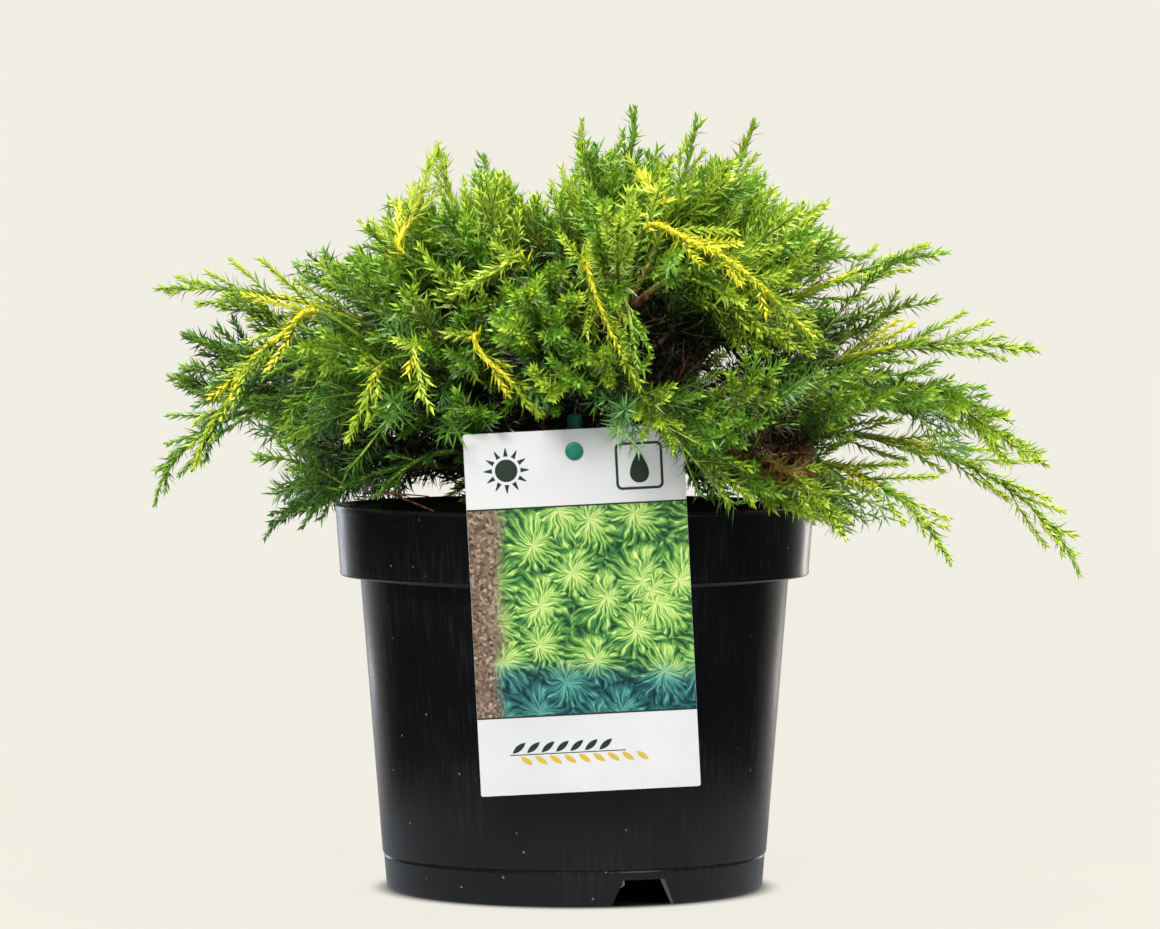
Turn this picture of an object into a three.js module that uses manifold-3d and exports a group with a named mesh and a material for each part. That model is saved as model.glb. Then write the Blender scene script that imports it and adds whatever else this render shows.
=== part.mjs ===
// Potted golden juniper: a spreading juniper in a black nursery pot, with a
// blank plant label. Millimetres, +Z up, the front of the plant faces -Y.
// The origin is on the flat underside of the pot, on the pot's axis.

import * as THREE from 'three';
import { mergeVertices } from 'three/addons/utils/BufferGeometryUtils.js';
import Module from 'manifold-3d';

const wasm = await Module();
wasm.setup();

// Driving dimensions
const GAP = 0.3;
const DEG = Math.PI / 180;

const POT_HEIGHT = 152.5;
const POT_RIM_RADIUS = 95;
const POT_RIM_FOOT_RADIUS = 93;
const POT_LEDGE_Z = 124.5;
const POT_FOOT_RADIUS = 74.7;
const POT_BODY_SLOPE = 0.08;
const POT_WALL = 1.8;
const POT_FLOOR_Z = 12;
const POT_SIDES = 40;
const CENTRE_FOOT_RADIUS = 20;
const NOTCH_COUNT = 3;
const NOTCH_AZIMUTH = -69;
const NOTCH_BOTTOM_WIDTH = 28;
const NOTCH_TOP_WIDTH = 17;
const NOTCH_HEIGHT = 10.5;
const DRAIN_HOLE_COUNT = 6;
const DRAIN_HOLE_RADIUS = 4.5;
const DRAIN_HOLE_RING = 52;

const SOIL_TOP_Z = 138;

const TRUNK_TOP_Z = 190;
const TRUNK_BASE_RADIUS = 9;
const TRUNK_TOP_RADIUS = 4.6;
const TRUNK_FLARE = 5;
const TRUNK_LEAN = 3.5;
const TRUNK_SIDES = 10;

const BOUGH_BASE_RADIUS = 2.3;
const BOUGH_TIP_RADIUS = 1.7;
const BOUGH_SHARE = 0.38;

const STEM_RADIUS = 1.7;
const LEADER_REACH = 11;
const LEADER_TIP_REACH = 4;
const LEADER_RING_SPACING = 9.5;
const BARE_STEM_SHARE = 0.07;
const BRUSH_CORE = 1.3;
const NEEDLE_LEAN = 0.45;
const NEEDLE_STEPS = [1, 0.8, 0.6, 0.45];
const GOLDEN_ANGLE = 137.5;
const SPRAY_REACH = 0.2;
const SPRAY_LENGTH_MIN = 34;
const SPRAY_LENGTH_MAX = 72;
const SPRAY_TRIES = 120;
const SPRAY_CLEARANCE = 0.8;
const FOLIAGE_GAP = 2;
const SPRAYS_TO_A_MASS = 4;
const SPRAYS_TO_A_SHOOT = 3;
const CROSSING_FACES = 76;

const LABEL_WIDTH = 83.6;
const LABEL_HEIGHT = 137.9;
const LABEL_THICKNESS = 0.8;
const LABEL_CENTRE = new THREE.Vector3(2.9, -(POT_RIM_RADIUS + GAP + 0.5), 115.9);
const LABEL_TURN = -2.9;
const LABEL_HOLE_RADIUS = 2.5;
const LABEL_HOLE_DROP = 8.4;
const STAKE_RADIUS = 2.75;
const STAKE_Y = -77;
const STAKE_TOP_Z = 190;
const STAKE_POINT_Z = 100;
const BUTTON_RADIUS = 3.4;
const BUTTON_THICKNESS = 1.3;
const BUTTON_Z = LABEL_CENTRE.z + LABEL_HEIGHT / 2 - LABEL_HOLE_DROP;

// No side spray leaves this box, which the limbs' tips reach
const CROWN_BOX = new THREE.Box3(
  new THREE.Vector3(-169, -149, 125),
  new THREE.Vector3(200.5, 172, 311.5),
);

// Seen from the front, side sprays keep under the first line and over the
// second, as [distance to the side, height] from left to right. The limbs' own
// tips stand out beyond both. FRONT_VIEW is how far off that view is taken from.
const CROWN_TOP = [
  [-170, 212], [-150, 228], [-138, 246], [-118, 252], [-90, 252], [-66, 278], [-45, 273],
  [-38, 288], [-20, 275], [-6, 278], [6, 295], [40, 291], [74, 289], [84, 270], [100, 270],
  [108, 252], [148, 252], [154, 230], [160, 200], [172, 190], [186, 172], [201, 150],
];
const CROWN_UNDERSIDE = [
  [-170, 200], [-134, 192], [-124, 150], [-104, 139], [-84, 150], [84, 150], [105, 139],
  [128, 150], [150, 131], [160, 165], [201, 165],
];
const FRONT_VIEW = new THREE.Vector3(2, -2100, 237);

// The limbs: azimuth from +X towards +Y, reach from the pot's axis, height and
// pitch of the tip, then height and pitch where the limb leaves the trunk. A
// limb with an arch above 1 swings up higher before it comes down to its tip.
// These are carried by a bough, and their mass begins at the bough's tip.
const BOUGH_LIMBS = [
  { name: 'low_right', azimuth: -7, reach: 200, height: 126, pitch: -68, from: 151.5, rise: 38 },
  { name: 'low_right_front', azimuth: -35, reach: 174, height: 134, pitch: -62, from: 146, rise: 32 },
  { name: 'low_front_right', azimuth: -53, reach: 168, height: 145, pitch: -50, from: 151.5, rise: 34 },
  { name: 'low_front_left', azimuth: -126, reach: 126, height: 160, pitch: -38, from: 151.5, rise: 30 },
  { name: 'low_left_front', azimuth: -145, reach: 128, height: 146, pitch: -52, from: 146, rise: 34 },
  { name: 'low_left', azimuth: -171, reach: 124, height: 139, pitch: -58, from: 151.5, rise: 32 },
  { name: 'low_back_left', azimuth: 140, reach: 158, height: 150, pitch: -48, from: 146, rise: 34 },
  { name: 'low_back', azimuth: 97, reach: 168, height: 147, pitch: -50, from: 151.5, rise: 34 },
  { name: 'low_back_right', azimuth: 48, reach: 170, height: 150, pitch: -48, from: 146, rise: 34 },
  { name: 'front', azimuth: -76, reach: 152, height: 178, pitch: -38, from: 157, rise: 60 },
  { name: 'left_gold', azimuth: -161, reach: 157, height: 167, pitch: -66, from: 157, rise: 44, arch: 1.55 },
  { name: 'right_mid', azimuth: 3, reach: 186, height: 213, pitch: -12, from: 157, rise: 34 },
  { name: 'back_mid', azimuth: 76, reach: 150, height: 226, pitch: -4, from: 157, rise: 44 },
  { name: 'left_droop', azimuth: 176.5, reach: 168, height: 152, pitch: -80, from: 162.5, rise: 44 },
  { name: 'front_left_gold', azimuth: -97, reach: 118, height: 190, pitch: -60, from: 162.5, rise: 61, arch: 1.3 },
  { name: 'right_front_mid', azimuth: -23, reach: 182, height: 187, pitch: -28, from: 162.5, rise: 42 },
  { name: 'right_high', azimuth: 18, reach: 160, height: 253, pitch: 6, from: 162.5, rise: 48 },
  { name: 'back_left_mid', azimuth: 121, reach: 150, height: 220, pitch: -6, from: 162.5, rise: 46 },
  { name: 'front_gold', azimuth: -79, reach: 127, height: 201, pitch: -68, from: 168, rise: 64.5, arch: 1.6 },
  { name: 'front_left_mid', azimuth: -128, reach: 128, height: 186, pitch: -40, from: 168.5, rise: 60 },
  { name: 'left_high', azimuth: 171, reach: 170, height: 238, pitch: -4, from: 168, rise: 46 },
  { name: 'front_right_gold', azimuth: -49, reach: 140, height: 214, pitch: -50, from: 175, rise: 68, arch: 1.45 },
  { name: 'left_front_mid', azimuth: -150, reach: 138, height: 204, pitch: -28, from: 174, rise: 64 },
];

// The stems of these masses meet the trunk itself
const SHOOT_LIMBS = [
  { name: 'right_up', azimuth: 3, reach: 100, height: 271, pitch: 38, from: 168, rise: 62 },
  { name: 'left_up', azimuth: 160, reach: 92, height: 265, pitch: 36, from: 173.5, rise: 64 },
  { name: 'back_up', azimuth: 100, reach: 76, height: 272, pitch: 50, from: 173.5, rise: 66 },
  { name: 'top_far_right', azimuth: 26, reach: 80, height: 305, pitch: 74, from: 173.5, rise: 62 },
  { name: 'top_far_left', azimuth: -170, reach: 55, height: 296, pitch: 78, from: 179, rise: 60 },
  { name: 'top_left', azimuth: 136, reach: 50, height: 291, pitch: 82, from: 179, rise: 62 },
  { name: 'top_back', azimuth: 84, reach: 30, height: 306, pitch: 76, from: 179, rise: 72 },
  { name: 'top', azimuth: 14, reach: 25, height: 311, pitch: 86, from: 185.5, rise: 80 },
  { name: 'top_right', azimuth: -28, reach: 54, height: 305, pitch: 82, from: 182, rise: 66 },
];
const LIMBS = [...BOUGH_LIMBS, ...SHOOT_LIMBS];

// Finishes
const finish = (color, roughness) => new THREE.MeshStandardMaterial({ color, roughness, metalness: 0 });
const POT_PLASTIC = finish('#17181a', 0.32);
const COMPOST = finish('#2b211a', 1);
const BARK = finish('#6b4a33', 0.85);
const FOLIAGE = finish('#7d9a2f', 0.7);
const GOLD_FOLIAGE = finish('#b9b62c', 0.7);
const LABEL_STOCK = finish('#eef0ee', 0.5);
const STAKE_PLASTIC = finish('#15786a', 0.4);

// The same small rule gives every twig its chance values
function chance(seed) {
  const value = Math.sin(seed * 12.9898 + 78.233) * 43758.5453;
  return value - Math.floor(value);
}

function between(low, high, seed) {
  return low + (high - low) * chance(seed);
}

function direction(azimuth, pitch) {
  const level = Math.cos(pitch * DEG);
  return new THREE.Vector3(
    level * Math.cos(azimuth * DEG),
    level * Math.sin(azimuth * DEG),
    Math.sin(pitch * DEG),
  );
}

// Solids that can be joined and cut
function solidOf(geometry) {
  const bare = geometry.clone();
  bare.deleteAttribute('normal');
  bare.deleteAttribute('uv');
  const merged = mergeVertices(bare, 1e-4);
  return new wasm.Manifold(new wasm.Mesh({
    numProp: 3,
    vertProperties: new Float32Array(merged.attributes.position.array),
    triVerts: new Uint32Array(merged.index.array),
  }));
}

function geometryOf(solid) {
  const mesh = solid.getMesh();
  const geometry = new THREE.BufferGeometry();
  geometry.setAttribute('position', new THREE.BufferAttribute(mesh.vertProperties, 3));
  geometry.setIndex(new THREE.BufferAttribute(mesh.triVerts, 1));
  geometry.computeVertexNormals();
  return geometry;
}

// Loose scraps are dropped: only the largest body of a solid stays
function largestBody(solid) {
  const bodies = solid.decompose();
  return bodies.reduce((best, body) => (body.volume() > best.volume() ? body : best));
}

// The place beside a curve at its share 't': 'thick' goes along the normal and
// 'side' goes across both the normal and the curve.
function placeBeside(curve, normal, t, side, thick) {
  const along = curve.getTangent(t);
  const up = normal.clone().addScaledVector(along, -normal.dot(along)).normalize();
  const across = along.clone().cross(up);
  return curve.getPoint(t).addScaledVector(across, side).addScaledVector(up, thick);
}

// A tapering bough along the first stretch of a limb's curve
function boughGeometry(limb) {
  const geometry = new THREE.CylinderGeometry(BOUGH_TIP_RADIUS, BOUGH_BASE_RADIUS, 1, 5, 4);
  const position = geometry.attributes.position;
  for (let i = 0; i < position.count; i += 1) {
    const t = BOUGH_SHARE * (position.getY(i) + 0.5);
    const place = placeBeside(limb.curve, limb.normal, t, position.getX(i), position.getZ(i));
    position.setXYZ(i, place.x, place.y, place.z);
  }
  return geometry;
}

// A brush of needles laid along a curve from 'start' to its end: a slim core
// whose corners stand out as needles by turns from ring to ring, and lean
// forward. 'reachAt' gives the needles' reach at each share of the length,
// and a needle is drawn in by steps until 'fits' allows its tip.
function brushGeometry({ curve, normal, start, sides, rings, reachAt, fits }) {
  const geometry = new THREE.CylinderGeometry(1, 1, 1, sides, rings);
  const position = geometry.attributes.position;
  const step = (1 - start) / rings;
  for (let i = 0; i < position.count; i += 1) {
    const x = position.getX(i);
    const z = position.getZ(i);
    const onAxis = Math.hypot(x, z) < 0.5;
    const ring = Math.round((position.getY(i) + 0.5) * rings);
    const corner = Math.round((Math.atan2(z, x) / (2 * Math.PI)) * sides + sides) % sides;
    const reach = reachAt(ring / rings);
    const core = onAxis ? 0 : Math.min(reach, Math.max(BRUSH_CORE, reach * 0.3));
    const at = (radius, lean) => (
      placeBeside(curve, normal, start + step * (ring + lean), x * radius, z * radius)
    );
    const isNeedle = !onAxis && (ring + corner) % 2 === 0 && ring < rings;
    const share = isNeedle
      ? NEEDLE_STEPS.find((size) => reach * size > core && fits(at(reach * size, NEEDLE_LEAN)))
      : undefined;
    const place = share ? at(reach * share, NEEDLE_LEAN) : at(core, 0);
    position.setXYZ(i, place.x, place.y, place.z);
  }
  return geometry;
}

// Each limb is one curve, from the trunk's axis out to its tip
const trunkFoot = new THREE.Vector3(0, 0, SOIL_TOP_Z + GAP);
const trunkLean = direction(-150, 90 - TRUNK_LEAN);

function trunkPoint(z) {
  return trunkFoot.clone().addScaledVector(trunkLean, (z - trunkFoot.z) / trunkLean.z);
}

LIMBS.forEach((limb, index) => {
  const root = trunkPoint(limb.from);
  const tip = direction(limb.azimuth, 0).multiplyScalar(limb.reach).setZ(limb.height);
  const span = root.distanceTo(tip);
  const sway = between(-6, 6, index + 1);
  const leave = direction(limb.azimuth + sway, limb.rise);
  const arrive = direction(limb.azimuth, limb.pitch);
  const swing = span * (limb.arch ?? 1);
  limb.curve = new THREE.CubicBezierCurve3(
    root,
    root.clone().addScaledVector(leave, swing * 0.38),
    tip.clone().addScaledVector(arrive, -swing * 0.34),
    tip,
  );
  limb.bough = BOUGH_LIMBS.includes(limb);
  limb.normal = direction(limb.azimuth + 90, 0);
  limb.line = limb.curve.getPoints(24);
});

// Distance from a point to the nearest point of a limb's line
const segment = new THREE.Line3();
const nearest = new THREE.Vector3();
function distanceTo(point, line) {
  let best = Infinity;
  for (let i = 0; i < line.length - 1; i += 1) {
    segment.set(line[i], line[i + 1]);
    segment.closestPointToPoint(point, true, nearest);
    best = Math.min(best, nearest.distanceTo(point));
  }
  return best;
}

// The label's face and its stake, as the places that foliage keeps clear of
const labelTurn = new THREE.Quaternion().setFromAxisAngle(new THREE.Vector3(0, 1, 0), LABEL_TURN * DEG);
const labelUnturn = labelTurn.clone().invert();

function touchesLabel(point) {
  const local = point.clone().sub(LABEL_CENTRE).applyQuaternion(labelUnturn);
  return Math.abs(local.x) < LABEL_WIDTH / 2 + FOLIAGE_GAP
    && Math.abs(local.z) < LABEL_HEIGHT / 2 + FOLIAGE_GAP
    && local.y > -LABEL_THICKNESS - BUTTON_THICKNESS - FOLIAGE_GAP
    && local.y < LABEL_THICKNESS + FOLIAGE_GAP;
}

function touchesStake(point) {
  const fromShaft = Math.hypot(point.x, point.y - STAKE_Y);
  const fromButton = Math.hypot(point.x, point.z - BUTTON_Z);
  const alongButton = point.y < STAKE_Y && point.y > LABEL_CENTRE.y - FOLIAGE_GAP;
  return (fromShaft < STAKE_RADIUS + FOLIAGE_GAP && point.z < STAKE_TOP_Z + STAKE_RADIUS + FOLIAGE_GAP)
    || (fromButton < BUTTON_RADIUS + FOLIAGE_GAP && alongButton);
}

function touchesPot(point) {
  const overWall = Math.hypot(point.x, point.y) < POT_RIM_RADIUS + FOLIAGE_GAP;
  return point.z < POT_LEDGE_Z || (overWall && point.z < POT_HEIGHT + FOLIAGE_GAP);
}

function touchesTrunk(point) {
  const fromAxis = point.distanceTo(trunkPoint(point.z));
  return point.z < TRUNK_TOP_Z + FOLIAGE_GAP && fromAxis < TRUNK_BASE_RADIUS + FOLIAGE_GAP;
}

function heightOn(outline, x) {
  const next = outline.findIndex((corner) => corner[0] > x);
  if (next < 1) {
    return (next < 0 ? outline.at(-1) : outline[0])[1];
  }
  const [from, to] = [outline[next - 1], outline[next]];
  return THREE.MathUtils.mapLinear(x, from[0], to[0], from[1], to[1]);
}

// Whether a point is inside the crown's outline, seen from the front
function insideCrown(point) {
  const nearness = -FRONT_VIEW.y / (point.y - FRONT_VIEW.y);
  const x = FRONT_VIEW.x + (point.x - FRONT_VIEW.x) * nearness;
  const z = FRONT_VIEW.z + (point.z - FRONT_VIEW.z) * nearness;
  const underTop = z < heightOn(CROWN_TOP, x);
  const overUnderside = z > heightOn(CROWN_UNDERSIDE, x);
  return CROWN_BOX.containsPoint(point) && underTop && overUnderside;
}

// Whether a point of a spray stays in the space of its own limb: nearer to
// that limb than to any other, and clear of everything that is not foliage.
function keepsToSpace(point, own) {
  if (touchesPot(point) || touchesTrunk(point) || touchesLabel(point) || touchesStake(point)) {
    return false;
  }
  const home = distanceTo(point, own.line);
  return LIMBS.every((limb) => {
    const clear = distanceTo(point, limb.line);
    return limb === own || clear > Math.max(home, BOUGH_BASE_RADIUS) + SPRAY_CLEARANCE;
  });
}

// Points spread over a spray, at its corners and half way along its edges
function testPoints(geometry) {
  const position = geometry.attributes.position;
  const index = geometry.index;
  const points = [];
  for (let i = 0; i < index.count; i += 3) {
    const [a, b, c] = [0, 1, 2].map((k) => (
      new THREE.Vector3().fromBufferAttribute(position, index.getX(i + k))
    ));
    points.push(a, a.clone().lerp(b, 0.5), b.clone().lerp(c, 0.5));
  }
  return points;
}

// The leader of a mass: a bare stem that runs on along the limb's curve, then
// carries needles out to its tip
function leaderGeometry(limb) {
  const length = limb.curve.getLength();
  const start = limb.bough ? BOUGH_SHARE + GAP / length : 0.02;
  const bare = (BOUGH_SHARE + BARE_STEM_SHARE - start) / (1 - start);
  const reachAt = (share) => {
    const needled = (share - bare) / (1 - bare);
    const swell = Math.sin(Math.PI * (0.2 + 0.75 * needled));
    const reach = THREE.MathUtils.lerp(LEADER_TIP_REACH, LEADER_REACH, swell);
    return needled < 0 ? STEM_RADIUS : Math.min(reach, 60 * (1 - share) + 0.5);
  };
  return brushGeometry({
    curve: limb.curve,
    normal: limb.normal,
    start,
    sides: 6,
    rings: Math.round((length * (1 - start)) / LEADER_RING_SPACING),
    reachAt,
    fits: (point) => keepsToSpace(point, limb),
  });
}

// One side spray, by the seeded rule: it leaves the leader at an angle, bends
// on towards the limb's tip, and later tries are shorter
function sprayGeometry(limb, seed, attempt) {
  const dice = seed * 1000 + attempt * 10;
  const t = between(BOUGH_SHARE + 0.06, 0.86, dice + 1);
  const along = limb.curve.getTangent(t);
  const turn = attempt * GOLDEN_ANGLE + between(-20, 20, dice + 2);
  const out = limb.normal.clone().applyAxisAngle(along, turn * DEG);
  const spread = between(34, 62, dice + 3) * DEG;
  const leave = along.clone().multiplyScalar(Math.cos(spread)).addScaledVector(out, Math.sin(spread));
  const arrive = leave.clone().lerp(along, 0.5).normalize();
  const wish = between(0.34, 0.52, dice + 4) * limb.curve.getLength() * (1.25 - 0.6 * t);
  const shrink = 1 - (0.5 * attempt) / SPRAY_TRIES;
  const size = THREE.MathUtils.clamp(wish, SPRAY_LENGTH_MIN, SPRAY_LENGTH_MAX) * shrink;
  const root = limb.curve.getPoint(t);
  const middle = root.clone().addScaledVector(leave, size * 0.55);
  const tip = middle.clone().addScaledVector(arrive, size * 0.5);
  return brushGeometry({
    curve: new THREE.QuadraticBezierCurve3(root, middle, tip),
    normal: along.clone().cross(out),
    start: 0,
    sides: 4,
    rings: size > 44 ? 7 : 5,
    reachAt: (share) => size * SPRAY_REACH * Math.sin(Math.PI * (0.06 + 0.86 * share)),
    fits: () => true,
  });
}

// One mass: its leader with side sprays set round it. A spray that does not
// fit, or that would run through another one, is skipped.
function massSolid(limb, seed) {
  const wanted = limb.bough ? SPRAYS_TO_A_MASS : SPRAYS_TO_A_SHOOT;
  let solid = solidOf(leaderGeometry(limb));
  let placed = 0;
  for (let attempt = 0; attempt < SPRAY_TRIES && placed < wanted; attempt += 1) {
    const spray = sprayGeometry(limb, seed, attempt);
    const inSpace = testPoints(spray).every(
      (point) => insideCrown(point) && keepsToSpace(point, limb),
    );
    const joined = inSpace ? solid.add(solidOf(spray)) : solid;
    const added = joined.numTri() - solid.numTri();
    if (added > 0 && added <= CROSSING_FACES) {
      solid = joined;
      placed += 1;
    }
  }
  return largestBody(solid);
}

// The trunk: a flat cut at soil level, root flare, lean and true taper
function trunkSolid(inflate) {
  const rings = 8;
  const geometry = new THREE.CylinderGeometry(1, 1, 1, TRUNK_SIDES, rings);
  const position = geometry.attributes.position;
  for (let i = 0; i < position.count; i += 1) {
    const share = position.getY(i) + 0.5;
    const z = trunkFoot.z + share * (TRUNK_TOP_Z - trunkFoot.z);
    const taper = THREE.MathUtils.lerp(TRUNK_BASE_RADIUS, TRUNK_TOP_RADIUS, share);
    const lobes = 1 + 0.18 * Math.cos(5 * Math.atan2(position.getZ(i), position.getX(i)));
    const flare = TRUNK_FLARE * Math.exp(-share * 9) * lobes;
    const radius = taper + flare + inflate;
    const centre = trunkPoint(z);
    position.setXYZ(
      i,
      centre.x + radius * position.getX(i),
      centre.y - radius * position.getZ(i),
      z + (share > 0.999 ? inflate : 0) - (share < 0.001 ? inflate : 0),
    );
  }
  return solidOf(geometry);
}

// The pot: tapered body, stepped rim band with a rolled lip, raised floor on a
// foot ring with drain notches, and a flat centre foot under the floor.
function lathe(profile) {
  const points = profile.map(([radius, z]) => new THREE.Vector2(radius, z));
  const geometry = new THREE.LatheGeometry(points, POT_SIDES);
  geometry.rotateX(90 * DEG);
  return solidOf(geometry);
}

function bodyRadius(z) {
  return POT_FOOT_RADIUS + POT_BODY_SLOPE * z;
}

function notchSolid(azimuth) {
  const low = NOTCH_BOTTOM_WIDTH / 2;
  const high = NOTCH_TOP_WIDTH / 2;
  const shape = new THREE.Shape();
  shape.moveTo(-low, -1);
  shape.lineTo(low, -1);
  shape.lineTo(high, NOTCH_HEIGHT);
  shape.lineTo(-high, NOTCH_HEIGHT);
  shape.closePath();
  const geometry = new THREE.ExtrudeGeometry(shape, { depth: 30, bevelEnabled: false });
  geometry.rotateX(90 * DEG);
  geometry.translate(0, -(POT_FOOT_RADIUS - 12), 0);
  geometry.rotateZ((azimuth + 90) * DEG);
  return solidOf(geometry);
}

function potSolid() {
  const rimInner = POT_RIM_RADIUS - POT_WALL;
  let solid = lathe([
    [0, 0],
    [CENTRE_FOOT_RADIUS, 0],
    [CENTRE_FOOT_RADIUS - 1.5, POT_FLOOR_Z - POT_WALL],
    [POT_FOOT_RADIUS - 4.5, POT_FLOOR_Z - POT_WALL],
    [POT_FOOT_RADIUS - 3, 0],
    [POT_FOOT_RADIUS - 0.9, 0],
    [bodyRadius(1.2), 1.2],
    [bodyRadius(14), 14],
    [bodyRadius(14.6) + 0.5, 14.6],
    [bodyRadius(POT_LEDGE_Z) + 0.5, POT_LEDGE_Z],
    [POT_RIM_FOOT_RADIUS - 1, POT_LEDGE_Z],
    [POT_RIM_FOOT_RADIUS, POT_LEDGE_Z + 1],
    [POT_RIM_RADIUS, POT_HEIGHT - 2.4],
    [POT_RIM_RADIUS - 0.8, POT_HEIGHT],
    [rimInner, POT_HEIGHT],
    [POT_RIM_FOOT_RADIUS - POT_WALL, POT_LEDGE_Z + POT_WALL],
    [bodyRadius(POT_LEDGE_Z) - POT_WALL, POT_LEDGE_Z + POT_WALL],
    [bodyRadius(POT_FLOOR_Z) - POT_WALL, POT_FLOOR_Z],
    [0, POT_FLOOR_Z],
  ]);
  for (let k = 0; k < NOTCH_COUNT; k += 1) {
    solid = solid.subtract(notchSolid(NOTCH_AZIMUTH + (360 * k) / NOTCH_COUNT));
  }
  for (let k = 0; k < DRAIN_HOLE_COUNT; k += 1) {
    const hole = new THREE.CylinderGeometry(DRAIN_HOLE_RADIUS, DRAIN_HOLE_RADIUS, 8, 12);
    const azimuth = NOTCH_AZIMUTH + (360 * (k + 0.5)) / DRAIN_HOLE_COUNT;
    hole.rotateX(90 * DEG);
    hole.translate(DRAIN_HOLE_RING, 0, POT_FLOOR_Z);
    hole.rotateZ(azimuth * DEG);
    solid = solid.subtract(solidOf(hole));
  }
  return solid;
}

// The compost fills the pot to just under its rim, round the stake
function soilSolid() {
  const inner = POT_WALL + GAP;
  const ledge = POT_LEDGE_Z + POT_WALL + GAP;
  const solid = lathe([
    [0, POT_FLOOR_Z + GAP],
    [bodyRadius(POT_FLOOR_Z) - inner, POT_FLOOR_Z + GAP],
    [bodyRadius(POT_LEDGE_Z) - inner, ledge],
    [POT_RIM_FOOT_RADIUS - inner, ledge],
    [POT_RIM_FOOT_RADIUS - inner - 2, SOIL_TOP_Z],
    [0, SOIL_TOP_Z],
  ]);
  return solid.subtract(stakeShaft(GAP));
}

function stakeShaft(inflate) {
  const height = STAKE_TOP_Z - STAKE_POINT_Z;
  const geometry = new THREE.CylinderGeometry(STAKE_RADIUS + inflate, STAKE_RADIUS + inflate, height, 12);
  geometry.rotateX(90 * DEG);
  geometry.translate(0, STAKE_Y, STAKE_POINT_Z + height / 2 - inflate);
  return solidOf(geometry);
}

// The label card hangs by its hole on a button that stands out of the stake
const holeCentre = new THREE.Vector3(0, 0, LABEL_HEIGHT / 2 - LABEL_HOLE_DROP)
  .applyQuaternion(labelTurn)
  .add(LABEL_CENTRE);
holeCentre.x = 0;

function crossPin(radius, fromY, toY) {
  const geometry = new THREE.CylinderGeometry(radius, radius, Math.abs(toY - fromY), 16);
  geometry.translate(0, (fromY + toY) / 2, 0);
  geometry.translate(holeCentre.x, 0, holeCentre.z);
  return solidOf(geometry);
}

function labelSolid() {
  const card = new THREE.BoxGeometry(LABEL_WIDTH, LABEL_THICKNESS, LABEL_HEIGHT);
  card.applyQuaternion(labelTurn);
  card.translate(LABEL_CENTRE.x, LABEL_CENTRE.y, LABEL_CENTRE.z);
  return solidOf(card).subtract(crossPin(LABEL_HOLE_RADIUS, LABEL_CENTRE.y - 5, LABEL_CENTRE.y + 5));
}

function stakeSolid() {
  const front = LABEL_CENTRE.y - LABEL_THICKNESS / 2 - GAP;
  const tip = new THREE.SphereGeometry(STAKE_RADIUS, 12, 6);
  tip.rotateX(90 * DEG);
  tip.translate(0, STAKE_Y, STAKE_TOP_Z);
  return stakeShaft(0)
    .add(solidOf(tip))
    .add(crossPin(LABEL_HOLE_RADIUS - GAP, STAKE_Y, front - BUTTON_THICKNESS / 2))
    .add(crossPin(BUTTON_RADIUS, front, front - BUTTON_THICKNESS));
}

// The assembly
const group = new THREE.Group();

function add(name, solid, material) {
  const mesh = new THREE.Mesh(geometryOf(solid), material);
  mesh.name = name;
  group.add(mesh);
}

add('pot', potSolid(), POT_PLASTIC);
add('soil', soilSolid(), COMPOST);
add('trunk', trunkSolid(0), BARK);

const trunkSpace = trunkSolid(GAP);
LIMBS.forEach((limb, index) => {
  if (limb.bough) {
    const bough = solidOf(boughGeometry(limb)).subtract(trunkSpace);
    add(`bough_${limb.name}`, largestBody(bough), BARK);
  }
  const material = limb.name.includes('gold') ? GOLD_FOLIAGE : FOLIAGE;
  const mass = massSolid(limb, index + 1).subtract(trunkSpace);
  add(`foliage_${limb.name}`, largestBody(mass), material);
});

add('label_card', labelSolid(), LABEL_STOCK);
add('label_stake', stakeSolid(), STAKE_PLASTIC);

export default group;
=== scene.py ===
# %% [markdown]
# # A golden juniper in a black nursery pot
#
# This notebook dresses the CAD model of a small potted juniper. The CAD model gives every size and place.
# Here each of its parts is exchanged for one with the detail that the eye looks for: needles in whorls,
# peeling bark, loose compost, a moulded pot with a rolled lip, and a printed card on a peg.

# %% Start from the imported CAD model
import math
import bmesh
import bpy
import numpy as np
from mathutils import Matrix, Vector


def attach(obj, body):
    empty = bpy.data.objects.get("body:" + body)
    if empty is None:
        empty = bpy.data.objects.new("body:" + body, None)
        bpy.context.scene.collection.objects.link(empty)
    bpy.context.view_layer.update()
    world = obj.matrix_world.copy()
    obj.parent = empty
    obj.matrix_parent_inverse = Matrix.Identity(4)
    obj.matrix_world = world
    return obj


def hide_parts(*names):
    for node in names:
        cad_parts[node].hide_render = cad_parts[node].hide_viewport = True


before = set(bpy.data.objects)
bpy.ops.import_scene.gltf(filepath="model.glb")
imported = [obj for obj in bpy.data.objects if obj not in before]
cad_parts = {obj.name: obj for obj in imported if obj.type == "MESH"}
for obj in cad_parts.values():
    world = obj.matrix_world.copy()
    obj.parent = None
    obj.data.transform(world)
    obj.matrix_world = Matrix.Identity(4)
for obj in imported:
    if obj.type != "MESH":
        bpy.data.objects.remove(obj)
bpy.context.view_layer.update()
NODES = list(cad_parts)
MASS_NODES = [name for name in NODES if name.startswith("foliage_")]
BOUGH_NODES = [name for name in NODES if name.startswith("bough_")]
MM = 0.001
print(len(NODES), "CAD nodes,", len(MASS_NODES), "of them masses of foliage")

# %% [markdown]
# ## Tools for the bench
#
# Colours are written as the hex values that a paint program shows, and one function turns them to the
# linear values that the renderer works in. One more adds a node with its settings and its links. Those
# after it name what is asked of nodes most often, so that each recipe stays short enough to read.

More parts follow.
